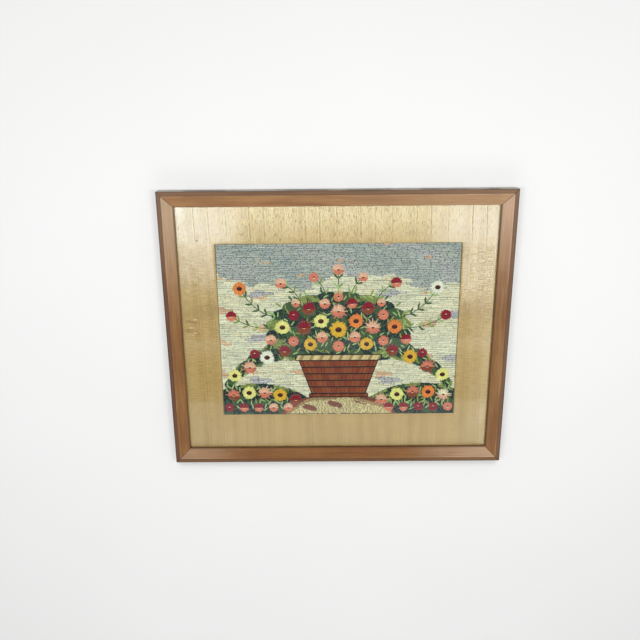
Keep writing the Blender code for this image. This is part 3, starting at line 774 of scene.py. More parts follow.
def strandPoints(spec, ends, width, height, lift, sink, bow):
    # ends is n rows of x0, y0, x1, y1 in mm. A strand's stations lie at set distances from its
    # ends. At each one a few points go over a half circle: sideways by the cosine and up by the
    # sine of the angle.
    start, stop = ends[:, :2], ends[:, 2:]
    length = np.linalg.norm(stop - start, axis=1)
    along = (stop - start) / length[:, None]
    across = np.stack([-along[:, 1], along[:, 0]], axis=1)
    dip = np.minimum(spec["dip"], spec["dipShare"] * length)
    middle = length - 2 * dip
    stations = np.stack([
        0 * length, 0.3 * dip, dip, dip + middle / 3, dip + middle * 2 / 3,
        length - dip, length - 0.3 * dip, length,
    ], axis=1)
    sway = bow[:, None] * np.sin(np.pi * stations / length[:, None])
    angle = np.linspace(0, np.pi, spec["around"])
    sideways = -np.cos(angle) * 0.5
    upward = np.sin(angle) ** spec["plump"]
    offset = sway[:, :, None] + (width[:, None] * spec["swell"])[:, :, None] * sideways
    xy = (start[:, None, None] + along[:, None, None] * stations[:, :, None, None]
          + across[:, None, None] * offset[..., None])
    base = lift - spec["root"]
    top = lift[:, None] + height[:, None] * (1 - sink[:, None] * spec["drop"])
    z = base[:, None, None] + (top - base[:, None])[:, :, None] * upward
    points = np.concatenate([xy, z[..., None]], axis=-1)
    around = angle[None, None] * width[:, None, None] / 2
    uv = np.stack(np.broadcast_arrays(stations[:, :, None], around), axis=-1)
    return points, uv


def woolFinish(spec):
    # colour from the strands' own attribute, ply twist and fuzz from their own map
    finish = Finish("crewelWool", Roughness=0.92, Sheen_Weight=0.12, Sheen_Roughness=0.5,
                    Specular_IOR_Level=0.18)
    colour = finish.node("ShaderNodeAttribute", {"attribute_name": "yarnColour"})
    flat = finish.node("ShaderNodeUVMap", {"uv_map": "yarn"})
    u, v = (finish.node("ShaderNodeSeparateXYZ", (), {0: flat}, out=i) for i in range(2))
    x, y, z = finish.place()
    turnUp = (u / spec["twist"][0] + v / spec["twist"][1]) * (2 * math.pi)
    ply = finish.math("SINE", turnUp) * 0.5 + 0.5
    hair = finish.noise(u / 1.1 + x / 9.0, v / 0.16, y / 9.0)
    fuzz = finish.noise(x, y, z, 4.0, 0.7, 3.4)
    # painted shade in the grooves of the ply twist, with random tone from hair and fuzz
    shade = (0.70 + (ply ** 0.6) * 0.22 + hair * 0.22) * (0.90 + fuzz * 0.2)
    relief = ply * 0.9 + hair * 0.5 + fuzz * 0.4
    return finish.set(
        Base_Color=finish.shaded(colour, shade), Normal=finish.bump(relief, 0.00022, 0.8)
    )


wool = woolFinish(yarn)


def endsOf(*values):
    # rows of x0, y0, x1, y1 in mm, from one array or number for each of the four
    return np.stack(np.broadcast_arrays(*values), axis=1)


class Stitches:
    # gathers strands as whole arrays until they are made into one mesh
    def __init__(self, name):
        self.name, self.parts = name, []

    def add(self, ends, width, height, lift, colour, sink=1.3):
        # sink is how far the ends go down, as a share of the height
        count = len(ends)
        if count == 0:
            return
        sizes = (width, height, lift, sink)
        whole = [np.broadcast_to(np.asarray(v, float), (count,)) for v in sizes]
        colour = np.broadcast_to(np.asarray(colour, float), (count, 3))
        self.parts.append((np.asarray(ends, float), *whole, colour))

    def make(self):
        values = [np.concatenate([part[i] for part in self.parts]) for i in range(6)]
        keep = np.linalg.norm(values[0][:, 2:] - values[0][:, :2], axis=1) > yarn["short"][0]
        ends, width, height, lift, sink, colour = (value[keep] for value in values)
        bow = chance.normal(0, yarn["bow"], len(ends))
        points, uv = strandPoints(yarn, ends, width, height, lift, sink, bow)
        count, stations, around = points.shape[:3]
        points[..., 0] += mat["windowShift"]
        points = points.reshape(-1, 3) * mm
        points[:, 2] += clothTop
        first = np.arange(count)[:, None, None] * stations * around
        quads = first + gridQuads(stations, around, False, True)[None]
        ring = np.arange(around)
        caps = np.concatenate([first[:, 0] + ring[None], first[:, 0] + (stations - 1) * around
                               + ring[None, ::-1]])
        rgb = np.repeat(colour, stations * around, axis=0)
        rgb = np.concatenate([rgb, np.ones((len(rgb), 1))], axis=1)
        piece = addPiece(self.name, points, [quads.reshape(-1, 4), caps], wool,
                         uv.reshape(-1, 2), rgb)
        triangles = 2 * quads.size // 4 + 3 * len(caps)
        print(self.name, count, "strands", triangles, "triangles")
        return piece


chance = np.random.default_rng(yarn["seed"])
clothTop = cadBox[0][2] + yarn["clothTop"] * mm


# Design, in mm from the middle of the window: a basket of flowers with garlands, sprays and mounds

colours = {
    "slate": tone(199, 207, 199), "slateDeep": tone(160, 179, 182), "mist": tone(210, 208, 211),
    "cream": tone(240, 238, 208), "creamWarm": tone(240, 232, 195), "peach": tone(232, 196, 158),
    "creamCool": tone(225, 229, 206),
    "pine": tone(27, 56, 50), "moss": tone(70, 102, 62),
    "olive": tone(148, 164, 88), "leaf": tone(168, 196, 130), "rust": tone(160, 90, 58),
    "rustDeep": tone(132, 70, 46), "tan": tone(186, 156, 108), "sand": tone(228, 212, 156),
    "ink": tone(44, 34, 36), "crimson": tone(150, 34, 52), "brick": tone(150, 76, 52),
    "salmon": tone(222, 136, 108), "blush": tone(236, 190, 158), "gold": tone(228, 184, 66),
    "lemon": tone(236, 234, 146), "orange": tone(234, 142, 74), "white": tone(236, 238, 218),
    "seed": tone(72, 42, 40), "seedRed": tone(128, 66, 46),
}

bouquet = [
    ("sunflower", 0, 4, 15), ("aster", 0, 38, 14), ("rosette", 0, -27, 11), ("rosette", 0, 64, 9),
    ("sunflower", 31, 20, 13), ("rosette", 29, -10, 11), ("rosette", 24, 52, 10),
    ("aster", 52, 43, 13), ("aster", 61, 8, 14), ("sunflower", 50, -23, 12),
    ("rosette", 79, 31, 10), ("rosette", 80, -17, 10), ("sunflower", 99, 9, 13),
    ("rosette", 75, 53, 8), ("rosette", 120, -14, 10),
]
foliage = {"y": 4, "reach": 122, "height": 66, "scallops": 20, "depth": 0.06}
garland = {
    "root": (80, -32), "bend": (150, -34), "tip": (198, -100), "width": 19, "lobes": 4,
    "taper": 0.62, "lobe": 0.16,
    "flowers": [
        ("aster", 0.12, -2, 12), ("sunflower", 0.38, -5, 13), ("rosette", 0.50, 11, 9),
        ("aster", 0.66, -5, 13), ("sunflower", 0.87, 3, 12),
    ],
}
basket = {
    "top": -54, "bottom": -118, "topHalf": 70, "bottomHalf": 48, "rows": 5,
    "rimHalf": 77, "rimHeight": 11, "footHalf": 53, "footHeight": 7,
    "block": 15.6,   # mm across a block of the weave
    "odd": 0.12,     # share of the stitches that have the next colour
    "slant": 0.45,   # of the rim's and the foot's stitches, as a share of their height
}
sprays = [
    {"root": (0, 58), "bend": (0, 80), "tip": (0, 106), "pairs": 3, "flower": ("rosette", 10)},
    {"root": (20, 60), "bend": (24, 82), "tip": (38, 95), "pairs": 2, "flower": ("rosette", 9)},
    {"root": (66, 54), "bend": (74, 76), "tip": (94, 86), "pairs": 3, "flower": ("rosette", 10)},
    {"root": (104, 26), "bend": (144, 32), "tip": (168, 73), "pairs": 5,
     "flower": ("sunflower", 12)},
    {"root": (116, 8), "bend": (152, 4), "tip": (183, 26), "pairs": 4, "flower": ("rosette", 10)},
]
mounds = {
    "side": {"x": 148, "y": -182, "reach": 122, "height": 84},
    "middle": {"x": 0, "y": -205, "reach": 125, "height": 89},
    "rows": [
        {"kinds": ("aster", "sunflower"), "first": 78, "last": 191, "y": -115, "droop": 45,
         "radius": 12.5},
        {"kinds": ("rosette", "rosette"), "first": 92, "last": 200, "y": -145, "droop": 0,
         "radius": 9},
    ],
    "perRow": 5,
    "lengths": {"side": (9.0, 2.2, 5.0), "middle": (6.5, 1.8, 3.6)},
}


def bendAt(path, share):
    # point and unit direction on the quadratic curve root, bend, tip
    root, bend, tip = (np.array(path[key], float) for key in ("root", "bend", "tip"))
    share = np.asarray(share, float)[..., None]
    point = (1 - share) ** 2 * root + 2 * share * (1 - share) * bend + share ** 2 * tip
    heading = 2 * (1 - share) * (bend - root) + 2 * share * (tip - bend)
    return point, heading / np.linalg.norm(heading, axis=-1, keepdims=True)


def allFlowers():
    # (kind, x, y, radius) of every flower, with the twins of those off the middle line
    flowers = list(bouquet)
    for kind, share, off, radius in garland["flowers"]:
        point, heading = bendAt(garland, share)
        flowers.append((kind, point[0] - heading[1] * off, point[1] + heading[0] * off, radius))
    for spray in sprays:
        kind, radius = spray["flower"]
        tip, heading = bendAt(spray, 1.0)
        flowers.append((kind, *(tip + heading * 0.7 * radius), radius))
    for row in mounds["rows"]:
        for number in range(mounds["perRow"]):
            x = row["first"] + number / (mounds["perRow"] - 1) * (row["last"] - row["first"])
            drop = row["droop"] * ((x - mounds["side"]["x"]) / mounds["side"]["reach"]) ** 2
            flowers.append((row["kinds"][number % 2], x, row["y"] - drop, row["radius"]))
    twins = [(kind, -x, y, radius) for kind, x, y, radius in flowers if x]
    return flowers + twins


flowers = allFlowers()


def inFlowers(x, y, shrink):
    # inside the circle of any flower, made smaller by shrink
    hit = np.zeros(x.shape, bool)
    for _, middleX, middleY, radius in flowers:
        hit |= np.hypot(x - middleX, y - middleY) < radius - shrink
    return hit


def basketHalf(y):
    # half the width of the body, which tapers evenly downwards
    share = (y - basket["bottom"]) / (basket["top"] - basket["bottom"])
    return basket["bottomHalf"] + share * (basket["topHalf"] - basket["bottomHalf"])


def inBasket(x, y, grow=0.0):
    # inside the body, the rim or the foot, made larger by grow
    x = np.abs(x)
    body = (y > basket["bottom"]) & (y < basket["top"]) & (x < basketHalf(y) + grow)
    rimTop = basket["top"] + basket["rimHeight"] + grow
    rim = (y > basket["top"] - grow) & (y < rimTop) & (x < basket["rimHalf"] + grow)
    footLow = basket["bottom"] - basket["footHeight"] - grow
    foot = (y > footLow) & (y < basket["bottom"] + grow) & (x < basket["footHalf"] + grow)
    return body | rim | foot


def foliageRadius(x, y):
    # 1 on the scalloped outline, less inside
    dx, dy = x / foliage["reach"], (y - foliage["y"]) / foliage["height"]
    swell = 1 + foliage["depth"] * np.abs(np.sin(foliage["scallops"] * np.arctan2(dy, dx) / 2))
    return np.hypot(dx, dy) / swell


garlandShare = np.linspace(0, 1, 61)
garlandLine = bendAt(garland, garlandShare)[0]
garlandHalf = garland["width"] * (1 - garland["taper"] * garlandShare) * (
    1 + garland["lobe"] * np.cos(2 * np.pi * garland["lobes"] * garlandShare)
)


def garlandRadius(x, y):
    # distance from the garland's middle line over its half width there
    best = np.full(x.shape, np.inf)
    for (px, py), half in zip(garlandLine, garlandHalf):
        best = np.minimum(best, np.hypot(np.abs(x) - px, y - py) / half)
    return best


def moundTop(mound, x):
    # height of the mound's upper outline, an ellipse, and far below beyond its ends
    share = 1 - ((np.abs(x) - mound["x"]) / mound["reach"]) ** 2
    return np.where(share > 0, mound["y"] + mound["height"] * np.sqrt(np.maximum(share, 0)), -999)


def inWindow(x, y, margin):
    # at least the margin inside the mat's window
    openX, openY = mat["windowHalf"]
    return (np.abs(x) < openX - margin) & (np.abs(y) < openY - margin)


petalLap = 1.6   # mm by which petals reach over what lies round them


def bare(x, y):
    # neither the basket nor a flower lies there
    return ~inBasket(x, y) & ~inFlowers(x, y, petalLap)


# Fills: parallel rows of stitches, laid like bricks and cut where the colour changes

# mm between rows, and between the samples along them at which labels are read
fills = {"pitch": 1.95, "sample": 0.5, "greens": ("pine", "moss", "olive")}


def brickRows(across, along, place, labelAt, lengths):
    # Labels are read on a grid of rows and samples along them. A stitch ends where the label
    # changes and at random lengths between, and each unbroken run is one stitch.
    step = along[1] - along[0]
    x, y = place(across[:, None], along[None, :])
    x, y = np.broadcast_arrays(x, y)
    labels = labelAt(x, y)
    change = np.zeros(labels.shape, bool)
    change[:, 1:] = labels[:, 1:] != labels[:, :-1]
    mean, spread, least = lengths
    most = int(len(along) * step / mean * 1.6) + 3
    cuts = np.cumsum(chance.normal(mean, spread, (len(across), most)).clip(least), axis=1)
    cuts -= chance.uniform(0, mean, (len(across), 1))
    spot = (cuts / step).astype(int)
    row, column = np.nonzero((spot > 0) & (spot < len(along)))
    brick = np.zeros(labels.shape, bool)
    brick[row, spot[row, column]] = True
    reach = int(least * 0.6 / step)   # no brick ends this close to where the label changes
    total = np.cumsum(np.pad(change, ((0, 0), (reach + 1, reach))), axis=1)
    near = (total[:, 2 * reach + 1:] - total[:, :-2 * reach - 1]) > 0
    marks = change | (brick & ~near[:, :labels.shape[1]])
    marks[:, 0] = True
    first = np.flatnonzero(marks.ravel())
    last = np.append(first[1:], marks.size) - 1
    label = labels.ravel()[first]
    keep = (label >= 0) & (last > first)
    first, last, label = first[keep], last[keep], label[keep]
    x, y = x.ravel(), y.ravel()
    return endsOf(x[first], y[first], x[last], y[last]), label


def layStrands(stitches, ends, width, colour, height, lift, gap=0.02, sink=1.3, stray=0.04):
    # one strand for each stitch; its ends fall short by gap or a little more, and lie about
    # stray beside its line
    along = ends[:, 2:] - ends[:, :2]
    length = np.linalg.norm(along, axis=1)
    good = length > yarn["short"][1]
    ends, along, length, colour = ends[good], along[good], length[good], colour[good]
    width, gap, sink, stray = (v[good] if np.ndim(v) else v for v in (width, gap, sink, stray))
    along /= length[:, None]
    across = np.stack([-along[:, 1], along[:, 0]], axis=1)
    beside = chance.normal(0, stray, (2, len(ends)))[..., None]
    short = chance.uniform(gap, gap + yarn["uneven"], (2, len(ends)))[..., None]
    start = ends[:, :2] + across * beside[0] + along * short[0]
    stop = ends[:, 2:] + across * beside[1] - along * short[1]
    tint = colour * (1 + chance.normal(0, 0.035, (len(ends), 1)))
    rise = height * (1 + chance.normal(0, 0.05, len(ends)))
    stitches.add(np.hstack([start, stop]), width * 1.02, rise, lift, tint.clip(0, 1), sink)


def pick(names, label, vary):
    # the palette's colour for each label, each stitch a little lighter or darker, warmer or cooler
    table = np.array([colours[name] for name in names])
    chosen = table[label]
    value = 1 + chance.normal(0, vary, (len(label), 1))
    warmth = 1 + chance.normal(0, vary * 0.25, (len(label), 1)) * np.array([1.0, 0.2, -1.0])
    return chosen * value * warmth


ground = {
    "pitch": 3.85,                 # mm between rows
    "pair": 0.86,                  # mm of a row's two strands from its middle
    "lengths": (14.0, 4.0, 6.0),   # mean, spread and least of its stitches, in mm
    "horizon": 92,                 # where the slate above meets the cream below
    "names": ("slate", "cream", "peach", "mist"),
    # which of them a tinge lies on, its colour and share, and where on its wave it lies
    "tinges": (
        (0, "slateDeep", 0.55, 1.1, 99), (0, "mist", 0.70, -99, -0.9),
        (1, "creamWarm", 0.45, 1.0, 99), (1, "creamCool", 0.50, -99, -0.9),
    ),
    "dull": (0.12, 0.82),          # share of the stitches that are darker, and by what
    "parting": 80,                 # where the ground is parted into two meshes
}


def groundLabel(x, y, shift):
    # slate above a wavy line, cream below, with peach and mist patches; shift, one number for
    # each row, makes the ends of a patch's rows ragged
    covered = (
        ~bare(x, y) | (foliageRadius(x, y) < 1) | (garlandRadius(x, y) < 1) | ~inWindow(x, y, 0.4)
        | (y < moundTop(mounds["side"], x)) | (y < moundTop(mounds["middle"], x))
    )
    x = x + shift
    wave = 13 * np.sin(x / 43 + 0.6) + 7 * np.sin(x / 17 + 2.1) + 3 * np.sin(x / 7.3)
    line = ground["horizon"] + wave
    label = np.where(y > line, 0, 1)
    patch = np.sin(x / 23 + 1.1) * np.sin(y / 9.5 + 0.5 + 0.4 * np.sin(x / 31))
    label = np.where((patch > 0.80) & (y < line - 6), 2, label)
    grey = np.sin(x / 37 - 0.9) * np.sin(y / 13.0 + 2.4)
    label = np.where((grey > 0.86) & (y < line - 10), 3, label)
    label = np.where((patch > 0.955) & (y > line + 12), 2, label)
    return np.where(covered, -1, label)


def stitchGround():
    # rows are doubled strands; the two lie closer to each other than to the next row
    pitch, pair = ground["pitch"], ground["pair"]
    openX, openY = mat["windowHalf"]
    middles = np.arange(openY - 0.6 - pitch / 2, -openY, -pitch)
    across = (middles[:, None] + np.array([pair, -pair])).ravel()
    along = np.arange(-openX, openX + 0.25, fills["sample"])
    wave = chance.uniform(0, 6.28, (2, len(across), 1))
    length = chance.uniform(14, 32, (2, len(across), 1))

    def place(row, sample):
        drift = np.sin(sample / length[0] + wave[0]) + np.sin(sample / length[1] + wave[1])
        return sample, row + 0.11 * drift

    shift = np.repeat(chance.normal(0, 5.0, (len(middles), 1)), 2, axis=0)
    ends, label = brickRows(
        across, along, place, lambda x, y: groundLabel(x, y, shift), ground["lengths"]
    )
    colour = pick(ground["names"], label, 0.085)
    x, y = ((ends[:, :2] + ends[:, 2:]) / 2).T
    tinge = np.sin(x / 29 + 2 * np.sin(y / 23)) + chance.normal(0, 0.6, len(label))
    odd = chance.random(len(label))
    for own, name, share, low, high in ground["tinges"]:
        part = (label == own) & (tinge > low) & (tinge < high)
        colour[part] = colour[part] * (1 - share) + colours[name] * share
    dullShare, dullBy = ground["dull"]
    colour = np.where((odd < dullShare)[:, None], colour * dullBy, colour)
    upper = ends[:, 1] > ground["parting"]
    for name, part in (("groundStitchesUpper", upper), ("groundStitchesLower", ~upper)):
        stitches = Stitches(name)
        loose = np.isin(label[part], (0, 3))   # the slate and mist stitches lie looser
        width, gap, sink, stray = (np.where(loose, a, b) for a, b in (
            (1.66, 1.95), (0.10, -0.22), (1.25, 0.80), (0.16, 0.08)
        ))
        layStrands(stitches, ends[part], width, colour[part], 0.92, 0.0, gap, sink, stray)
        yield stitches.make()


def foliageLabel(x, y):
    # pine with moss patches, and scallops at the rim that are pine, olive and moss in turn
    radius = foliageRadius(x, y)
    angle = np.arctan2((y - foliage["y"]) / foliage["height"], x / foliage["reach"])
    scallop = np.floor(foliage["scallops"] * (angle + np.pi) / (2 * np.pi)).astype(int)
    rim = radius > 0.80
    label = np.where(rim & (scallop % 3 == 1), 2, 0)
    label = np.where(rim & (scallop % 3 == 2), 1, label)
    patch = np.sin(x / 14 + y / 30 + 1.0) * np.sin(y / 12 - x / 40)
    label = np.where(~rim & (patch > 0.38), 1, label)
    return np.where((radius < 1) & bare(x, y), label, -1)


def garlandLabel(x, y):
    # pine with moss patches, and olive marks along the rim
    radius = garlandRadius(x, y)
    patch = np.sin(x / 9 + y / 17) * np.sin(y / 8 - x / 21 + 0.5)
    label = np.where(patch > 0.35, 1, 0)
    label = np.where((radius > 0.74) & (np.sin(x / 8.0) > 0.2), 2, label)
    inside = (radius < 1) & bare(x, y) & (foliageRadius(x, y) >= 1) & inWindow(x, y, 0.6)
    return np.where(inside, label, -1)


def stitchFoliage():
    # upright rows
    openX, openY = mat["windowHalf"]
    across = np.arange(-openX + 1.2, openX, fills["pitch"])
    along = np.arange(-openY, openY, fills["sample"])
    stitches = Stitches("foliageStitches")
    for labelAt in (foliageLabel, garlandLabel):
        ends, label = brickRows(
            across, along, lambda row, sample: (row, sample), labelAt, (10.0, 2.4, 5.0)
        )
        colour = pick(fills["greens"], label, 0.10)
        layStrands(stitches, ends, fills["pitch"], colour, 0.95, 0.05)
    return stitches.make()


def moundLabel(mound, other, x, y):
    # a side mound is green like the garlands; the middle one has a brick and a tan band under its
    # outline, which waver, and is sand with brick patches below them
    below = moundTop(mound, x) - y
    if other is not None:
        patch = np.sin(x / 12 + y / 25) * np.sin(below / 6 + x / 30)
        label = np.where(patch > 0.42, 1, 0)
        label = np.where((below < 6) & (np.sin(x / 9.5) > 0.1), 2, label)
        hidden = y < moundTop(other, x)
    else:
        wobble = below + 2.2 * np.sin(x / 11)
        label = np.where(wobble < 6, 3, np.where(wobble < 12, 4, 5))
        patch = np.sin(x / 15 + 2) * np.sin(y / 6 + x / 22)
        label = np.where((wobble > 14) & (patch > 0.62), 3, label)
        hidden = np.zeros(x.shape, bool)
    inside = (below > 0) & ~hidden & bare(x, y) & (garlandRadius(x, y) >= 1)
    return np.where(inside & inWindow(x, y, 0.5), label, -1)


def stitchMounds():
    # each row follows the mound's upper outline, and the middle mound hides part of the others
    openX = mat["windowHalf"][0]
    stitches = Stitches("moundStitches")
    across = np.arange(fills["pitch"] / 2, 75, fills["pitch"])
    along = np.arange(-openX, openX + 0.25, fills["sample"])
    for name, other in (("side", mounds["middle"]), ("middle", None)):
        mound = mounds[name]
        ends, label = brickRows(
            across, along,
            lambda row, sample: (sample, np.maximum(moundTop(mound, sample), -400) - row),
            lambda x, y: moundLabel(mound, other, x, y), mounds["lengths"][name],
        )
        colour = pick((*fills["greens"], "brick", "tan", "sand"), label, 0.09)
        layStrands(stitches, ends, fills["pitch"], colour, 0.92, 0.02)
    return stitches.make()


# Lines and basket

def stemLine(stitches, path, width, height, lift, colour, stitch=5.2):
    # short strands along a path, each of which overlaps the next
    path = np.asarray(path, float)
    run = np.concatenate([[0], np.cumsum(np.linalg.norm(np.diff(path, axis=0), axis=1))])
    count = max(2, int(round(run[-1] / (stitch * 0.62))))
    start = np.linspace(0, run[-1] - stitch * 0.9, count)
    at = [np.interp(start + shift, run, path[:, i]) for shift in (0, stitch) for i in (0, 1)]
    ends = np.stack(at, axis=1)
    tint = np.asarray(colour) * (1 + chance.normal(0, 0.08, (count, 1)))
    stitches.add(ends, width, height, lift + 0.08 * (np.arange(count) % 2), tint.clip(0, 1))


def stitchBasket():
    # upright stitches in blocks of two colours, which step by half a block from row to row
    stitches = Stitches("basketStitches")
    top, bottom = basket["top"], basket["bottom"]
    rimTop, footLow = top + basket["rimHeight"], bottom - basket["footHeight"]
    rim, foot = basket["rimHalf"], basket["footHalf"]
    tall = (top - bottom) / basket["rows"]
    width = fills["pitch"]
    for row in range(basket["rows"]):
        low = bottom + row * tall
        x = np.arange(-basketHalf(low + tall / 2) + 1.2, basketHalf(low + tall / 2), width)
        lean = (x / basketHalf(low)) * (basketHalf(low + tall) - basketHalf(low)) * 0.92
        ends = endsOf(x - lean / 2, low + 0.8, x + lean / 2, low + tall - 0.8)
        block = np.floor((x + row * basket["block"] / 2) / basket["block"]).astype(int) % 2
        odd = chance.random(len(x)) < basket["odd"]
        colour = pick(("rust", "brick", "rustDeep"), block + odd, 0.10)
        layStrands(stitches, ends, width, colour, 1.05, 0.1)
    # slanting stitches on the rim and the foot, in threes of a colour
    for half, low, high, names in ((rim, top, rimTop, ("sand", "tan", "sand")),
                                   (foot, footLow, bottom, ("rustDeep", "brick", "rust"))):
        slant = (high - low) * basket["slant"]
        x = np.arange(-half + 1.0, half - slant, width)
        ends = endsOf(x, low + 0.5, x + slant, high - 0.5)
        colour = pick(names, np.arange(len(x)) // 3 % 3, 0.07)
        layStrands(stitches, ends, width, colour, 1.25, 0.2)
    # outlines: between the body's rows, its two sides, along the rim and the foot, and their ends
    levels = [bottom + row * tall for row in range(1, basket["rows"])]
    lines = [[(-basketHalf(y), y), (basketHalf(y), y)] for y in levels]
    lines += [[(side * (basketHalf(y) + 0.6), y) for y in (bottom, top)] for side in (-1, 1)]
    lines += [[(-half, y), (half, y)]
              for y, half in ((top, rim), (rimTop, rim), (bottom, foot), (footLow, foot))]
    lines += [[(side * half, low), (side * half, high)]
              for half, low, high in ((rim, top, rimTop), (foot, footLow, bottom))
              for side in (-1, 1)]
    for line in lines:
        stemLine(stitches, line, 1.7, 0.9, 0.55, colours["ink"])
    return stitches.make()


# Leaves and stems

leaves = {
    # on the sprays: mm, radians from the stem, and where the first pair stands within its step
    "length": 12, "foot": 0.5, "turn": 0.75, "start": 0.45,
    "crown": (11, 25, 155, 1.05),   # count, first and last degree, reach
    # scattered on the greens: tries, where, half turns, and the least mm between two leaves
    "scatter": {"tries": 9000, "x": (-205, 205), "y": (-152, 78), "turns": (0.08, 0.92),
                "length": 10.5, "reach": 11.0, "apart": (4.0, 5.5), "denseBelow": -90},
}


def ahead(angle):
    # the unit direction at an angle
    return np.stack([np.cos(angle), np.sin(angle)], axis=1)


def leafSpots():
    # foot x, foot y and angle of each leaf: round the crown and in pairs on the sprays
    count, low, high, reach = leaves["crown"]
    angle = np.radians(np.linspace(low, high, count))
    x = foliage["reach"] * reach * np.cos(angle)
    rise = foliage["height"] * reach * np.sin(angle)
    outward = np.arctan2(rise, x * foliage["height"] / foliage["reach"])
    spots = [np.stack([x, foliage["y"] + rise, outward], axis=1)]
    for spray in sprays:
        share = (np.arange(spray["pairs"]) + leaves["start"]) / spray["pairs"]
        point, heading = bendAt(spray, share)
        for lean in (-leaves["turn"], leaves["turn"]):
            angle = np.arctan2(heading[:, 1], heading[:, 0]) + lean
            foot = point + leaves["foot"] * ahead(angle)
            spots.append(np.column_stack([foot, angle]))
            if spray["tip"][0]:
                spots.append(np.column_stack([-foot[:, 0], foot[:, 1], np.pi - angle]))
    return np.concatenate(spots)


def addLeaves(stitches, spots, length, lift, names, spread=1.25):
    # each leaf is a long middle stitch between two shorter ones that lean away from it
    along = ahead(spots[:, 2])
    across = np.stack([-along[:, 1], along[:, 0]], axis=1)
    tint = pick(names, chance.integers(0, len(names), len(spots)), 0.07)
    for off, start, stop, up in ((-spread, 0.10, 0.80, 0.0), (spread, 0.10, 0.80, 0.0),
                                 (0.0, 0.0, 1.0, 0.12)):
        foot = spots[:, :2] + along * start * length + across * off * 0.5
        point = spots[:, :2] + along * stop * length + across * off * 0.9
        stitches.add(np.hstack([foot, point]), 1.9, 0.95, lift + up, tint)


def scatterLeaves(spec):
    # feet and angles of single leaves that lie wholly on foliage, a garland or a side mound, clear
    # of the basket and the flowers, and not crowded by an earlier one
    tries = spec["tries"]
    spots = np.column_stack([
        chance.uniform(*spec["x"], tries), chance.uniform(*spec["y"], tries),
        chance.uniform(*spec["turns"], tries) * np.pi,
    ])
    feet = spots[:, :2]
    tips = feet + spec["reach"] * ahead(spots[:, 2])
    middle = (feet + tips) / 2
    clear = ~inFlowers(*middle.T, -1.0)
    for x, y in (feet.T, tips.T, middle.T):
        green = (foliageRadius(x, y) < 1) | (garlandRadius(x, y) < 1)
        green |= (y < moundTop(mounds["side"], x) - 1) & (y > moundTop(mounds["middle"], x))
        clear &= green & ~inFlowers(x, y, 3.0) & ~inBasket(x, y, 0.8) & inWindow(x, y, 2)
    spots, middle = spots[clear], middle[clear]
    gap = np.linalg.norm(middle[:, None] - middle[None], axis=2)
    order = np.arange(len(spots))
    apart = np.where(middle[:, 1] < spec["denseBelow"], *spec["apart"])
    return spots[~((gap < apart) & (order[None] < order[:, None])).any(axis=1)]


def stitchLeaves():
    stitches = Stitches("leafStitches")
    for spray in sprays:
        line = bendAt(spray, np.linspace(0, 1, 24))[0]
        for side in ((1, -1) if spray["tip"][0] else (1,)):
            stemLine(stitches, line * np.array([side, 1]), 1.9, 0.85, 0.30, colours["moss"])
    addLeaves(stitches, leafSpots(), leaves["length"], 0.40, ("leaf", "moss", "olive"))
    scatter = leaves["scatter"]
    addLeaves(stitches, scatterLeaves(scatter), scatter["length"], 0.28,
              ("leaf", "leaf", "olive", "moss"), 0.75)
    return stitches.make()


# Flowers: core and inner are shares of the radius, petals are those of a flower of the usual
# radius, alternate is the length of odd and even petals, and tones are of upper and lower ones

flowerKinds = {
    "sunflower": {
        "core": 0.42, "petals": 24, "uneven": 0.07, "width": 2.7, "inner": 0.86, "squash": 0.80,
        "alternate": (1.0, 1.0),
        "tones": [("gold", "gold"), ("lemon", "lemon"), ("orange", "orange"), ("white", "white")],
    },
    "aster": {
        "core": 0.16, "petals": 21, "uneven": 0.16, "width": 2.3, "inner": 0.70, "squash": 1.0,
        "alternate": (0.80, 1.10),
        "tones": [("blush", "salmon"), ("salmon", "brick"), ("creamWarm", "blush"),
                  ("crimson", "brick")],
    },
    "rosette": {
        "core": 0.14, "petals": 19, "uneven": 0.04, "width": 2.5, "inner": 0.86, "squash": 1.0,
        "alternate": (1.0, 1.0),
        "tones": [("crimson", "crimson"), ("salmon", "salmon"), ("blush", "salmon"),
                  ("crimson", "salmon")],
    },
}
usualRadius, leastPetals = 12.5, 13
eye = {"rows": (1.3, 0.0, -1.3), "half": 1.9, "even": ("white", "ink", "ink"),
       "odd": ("ink", "ink", "white")}


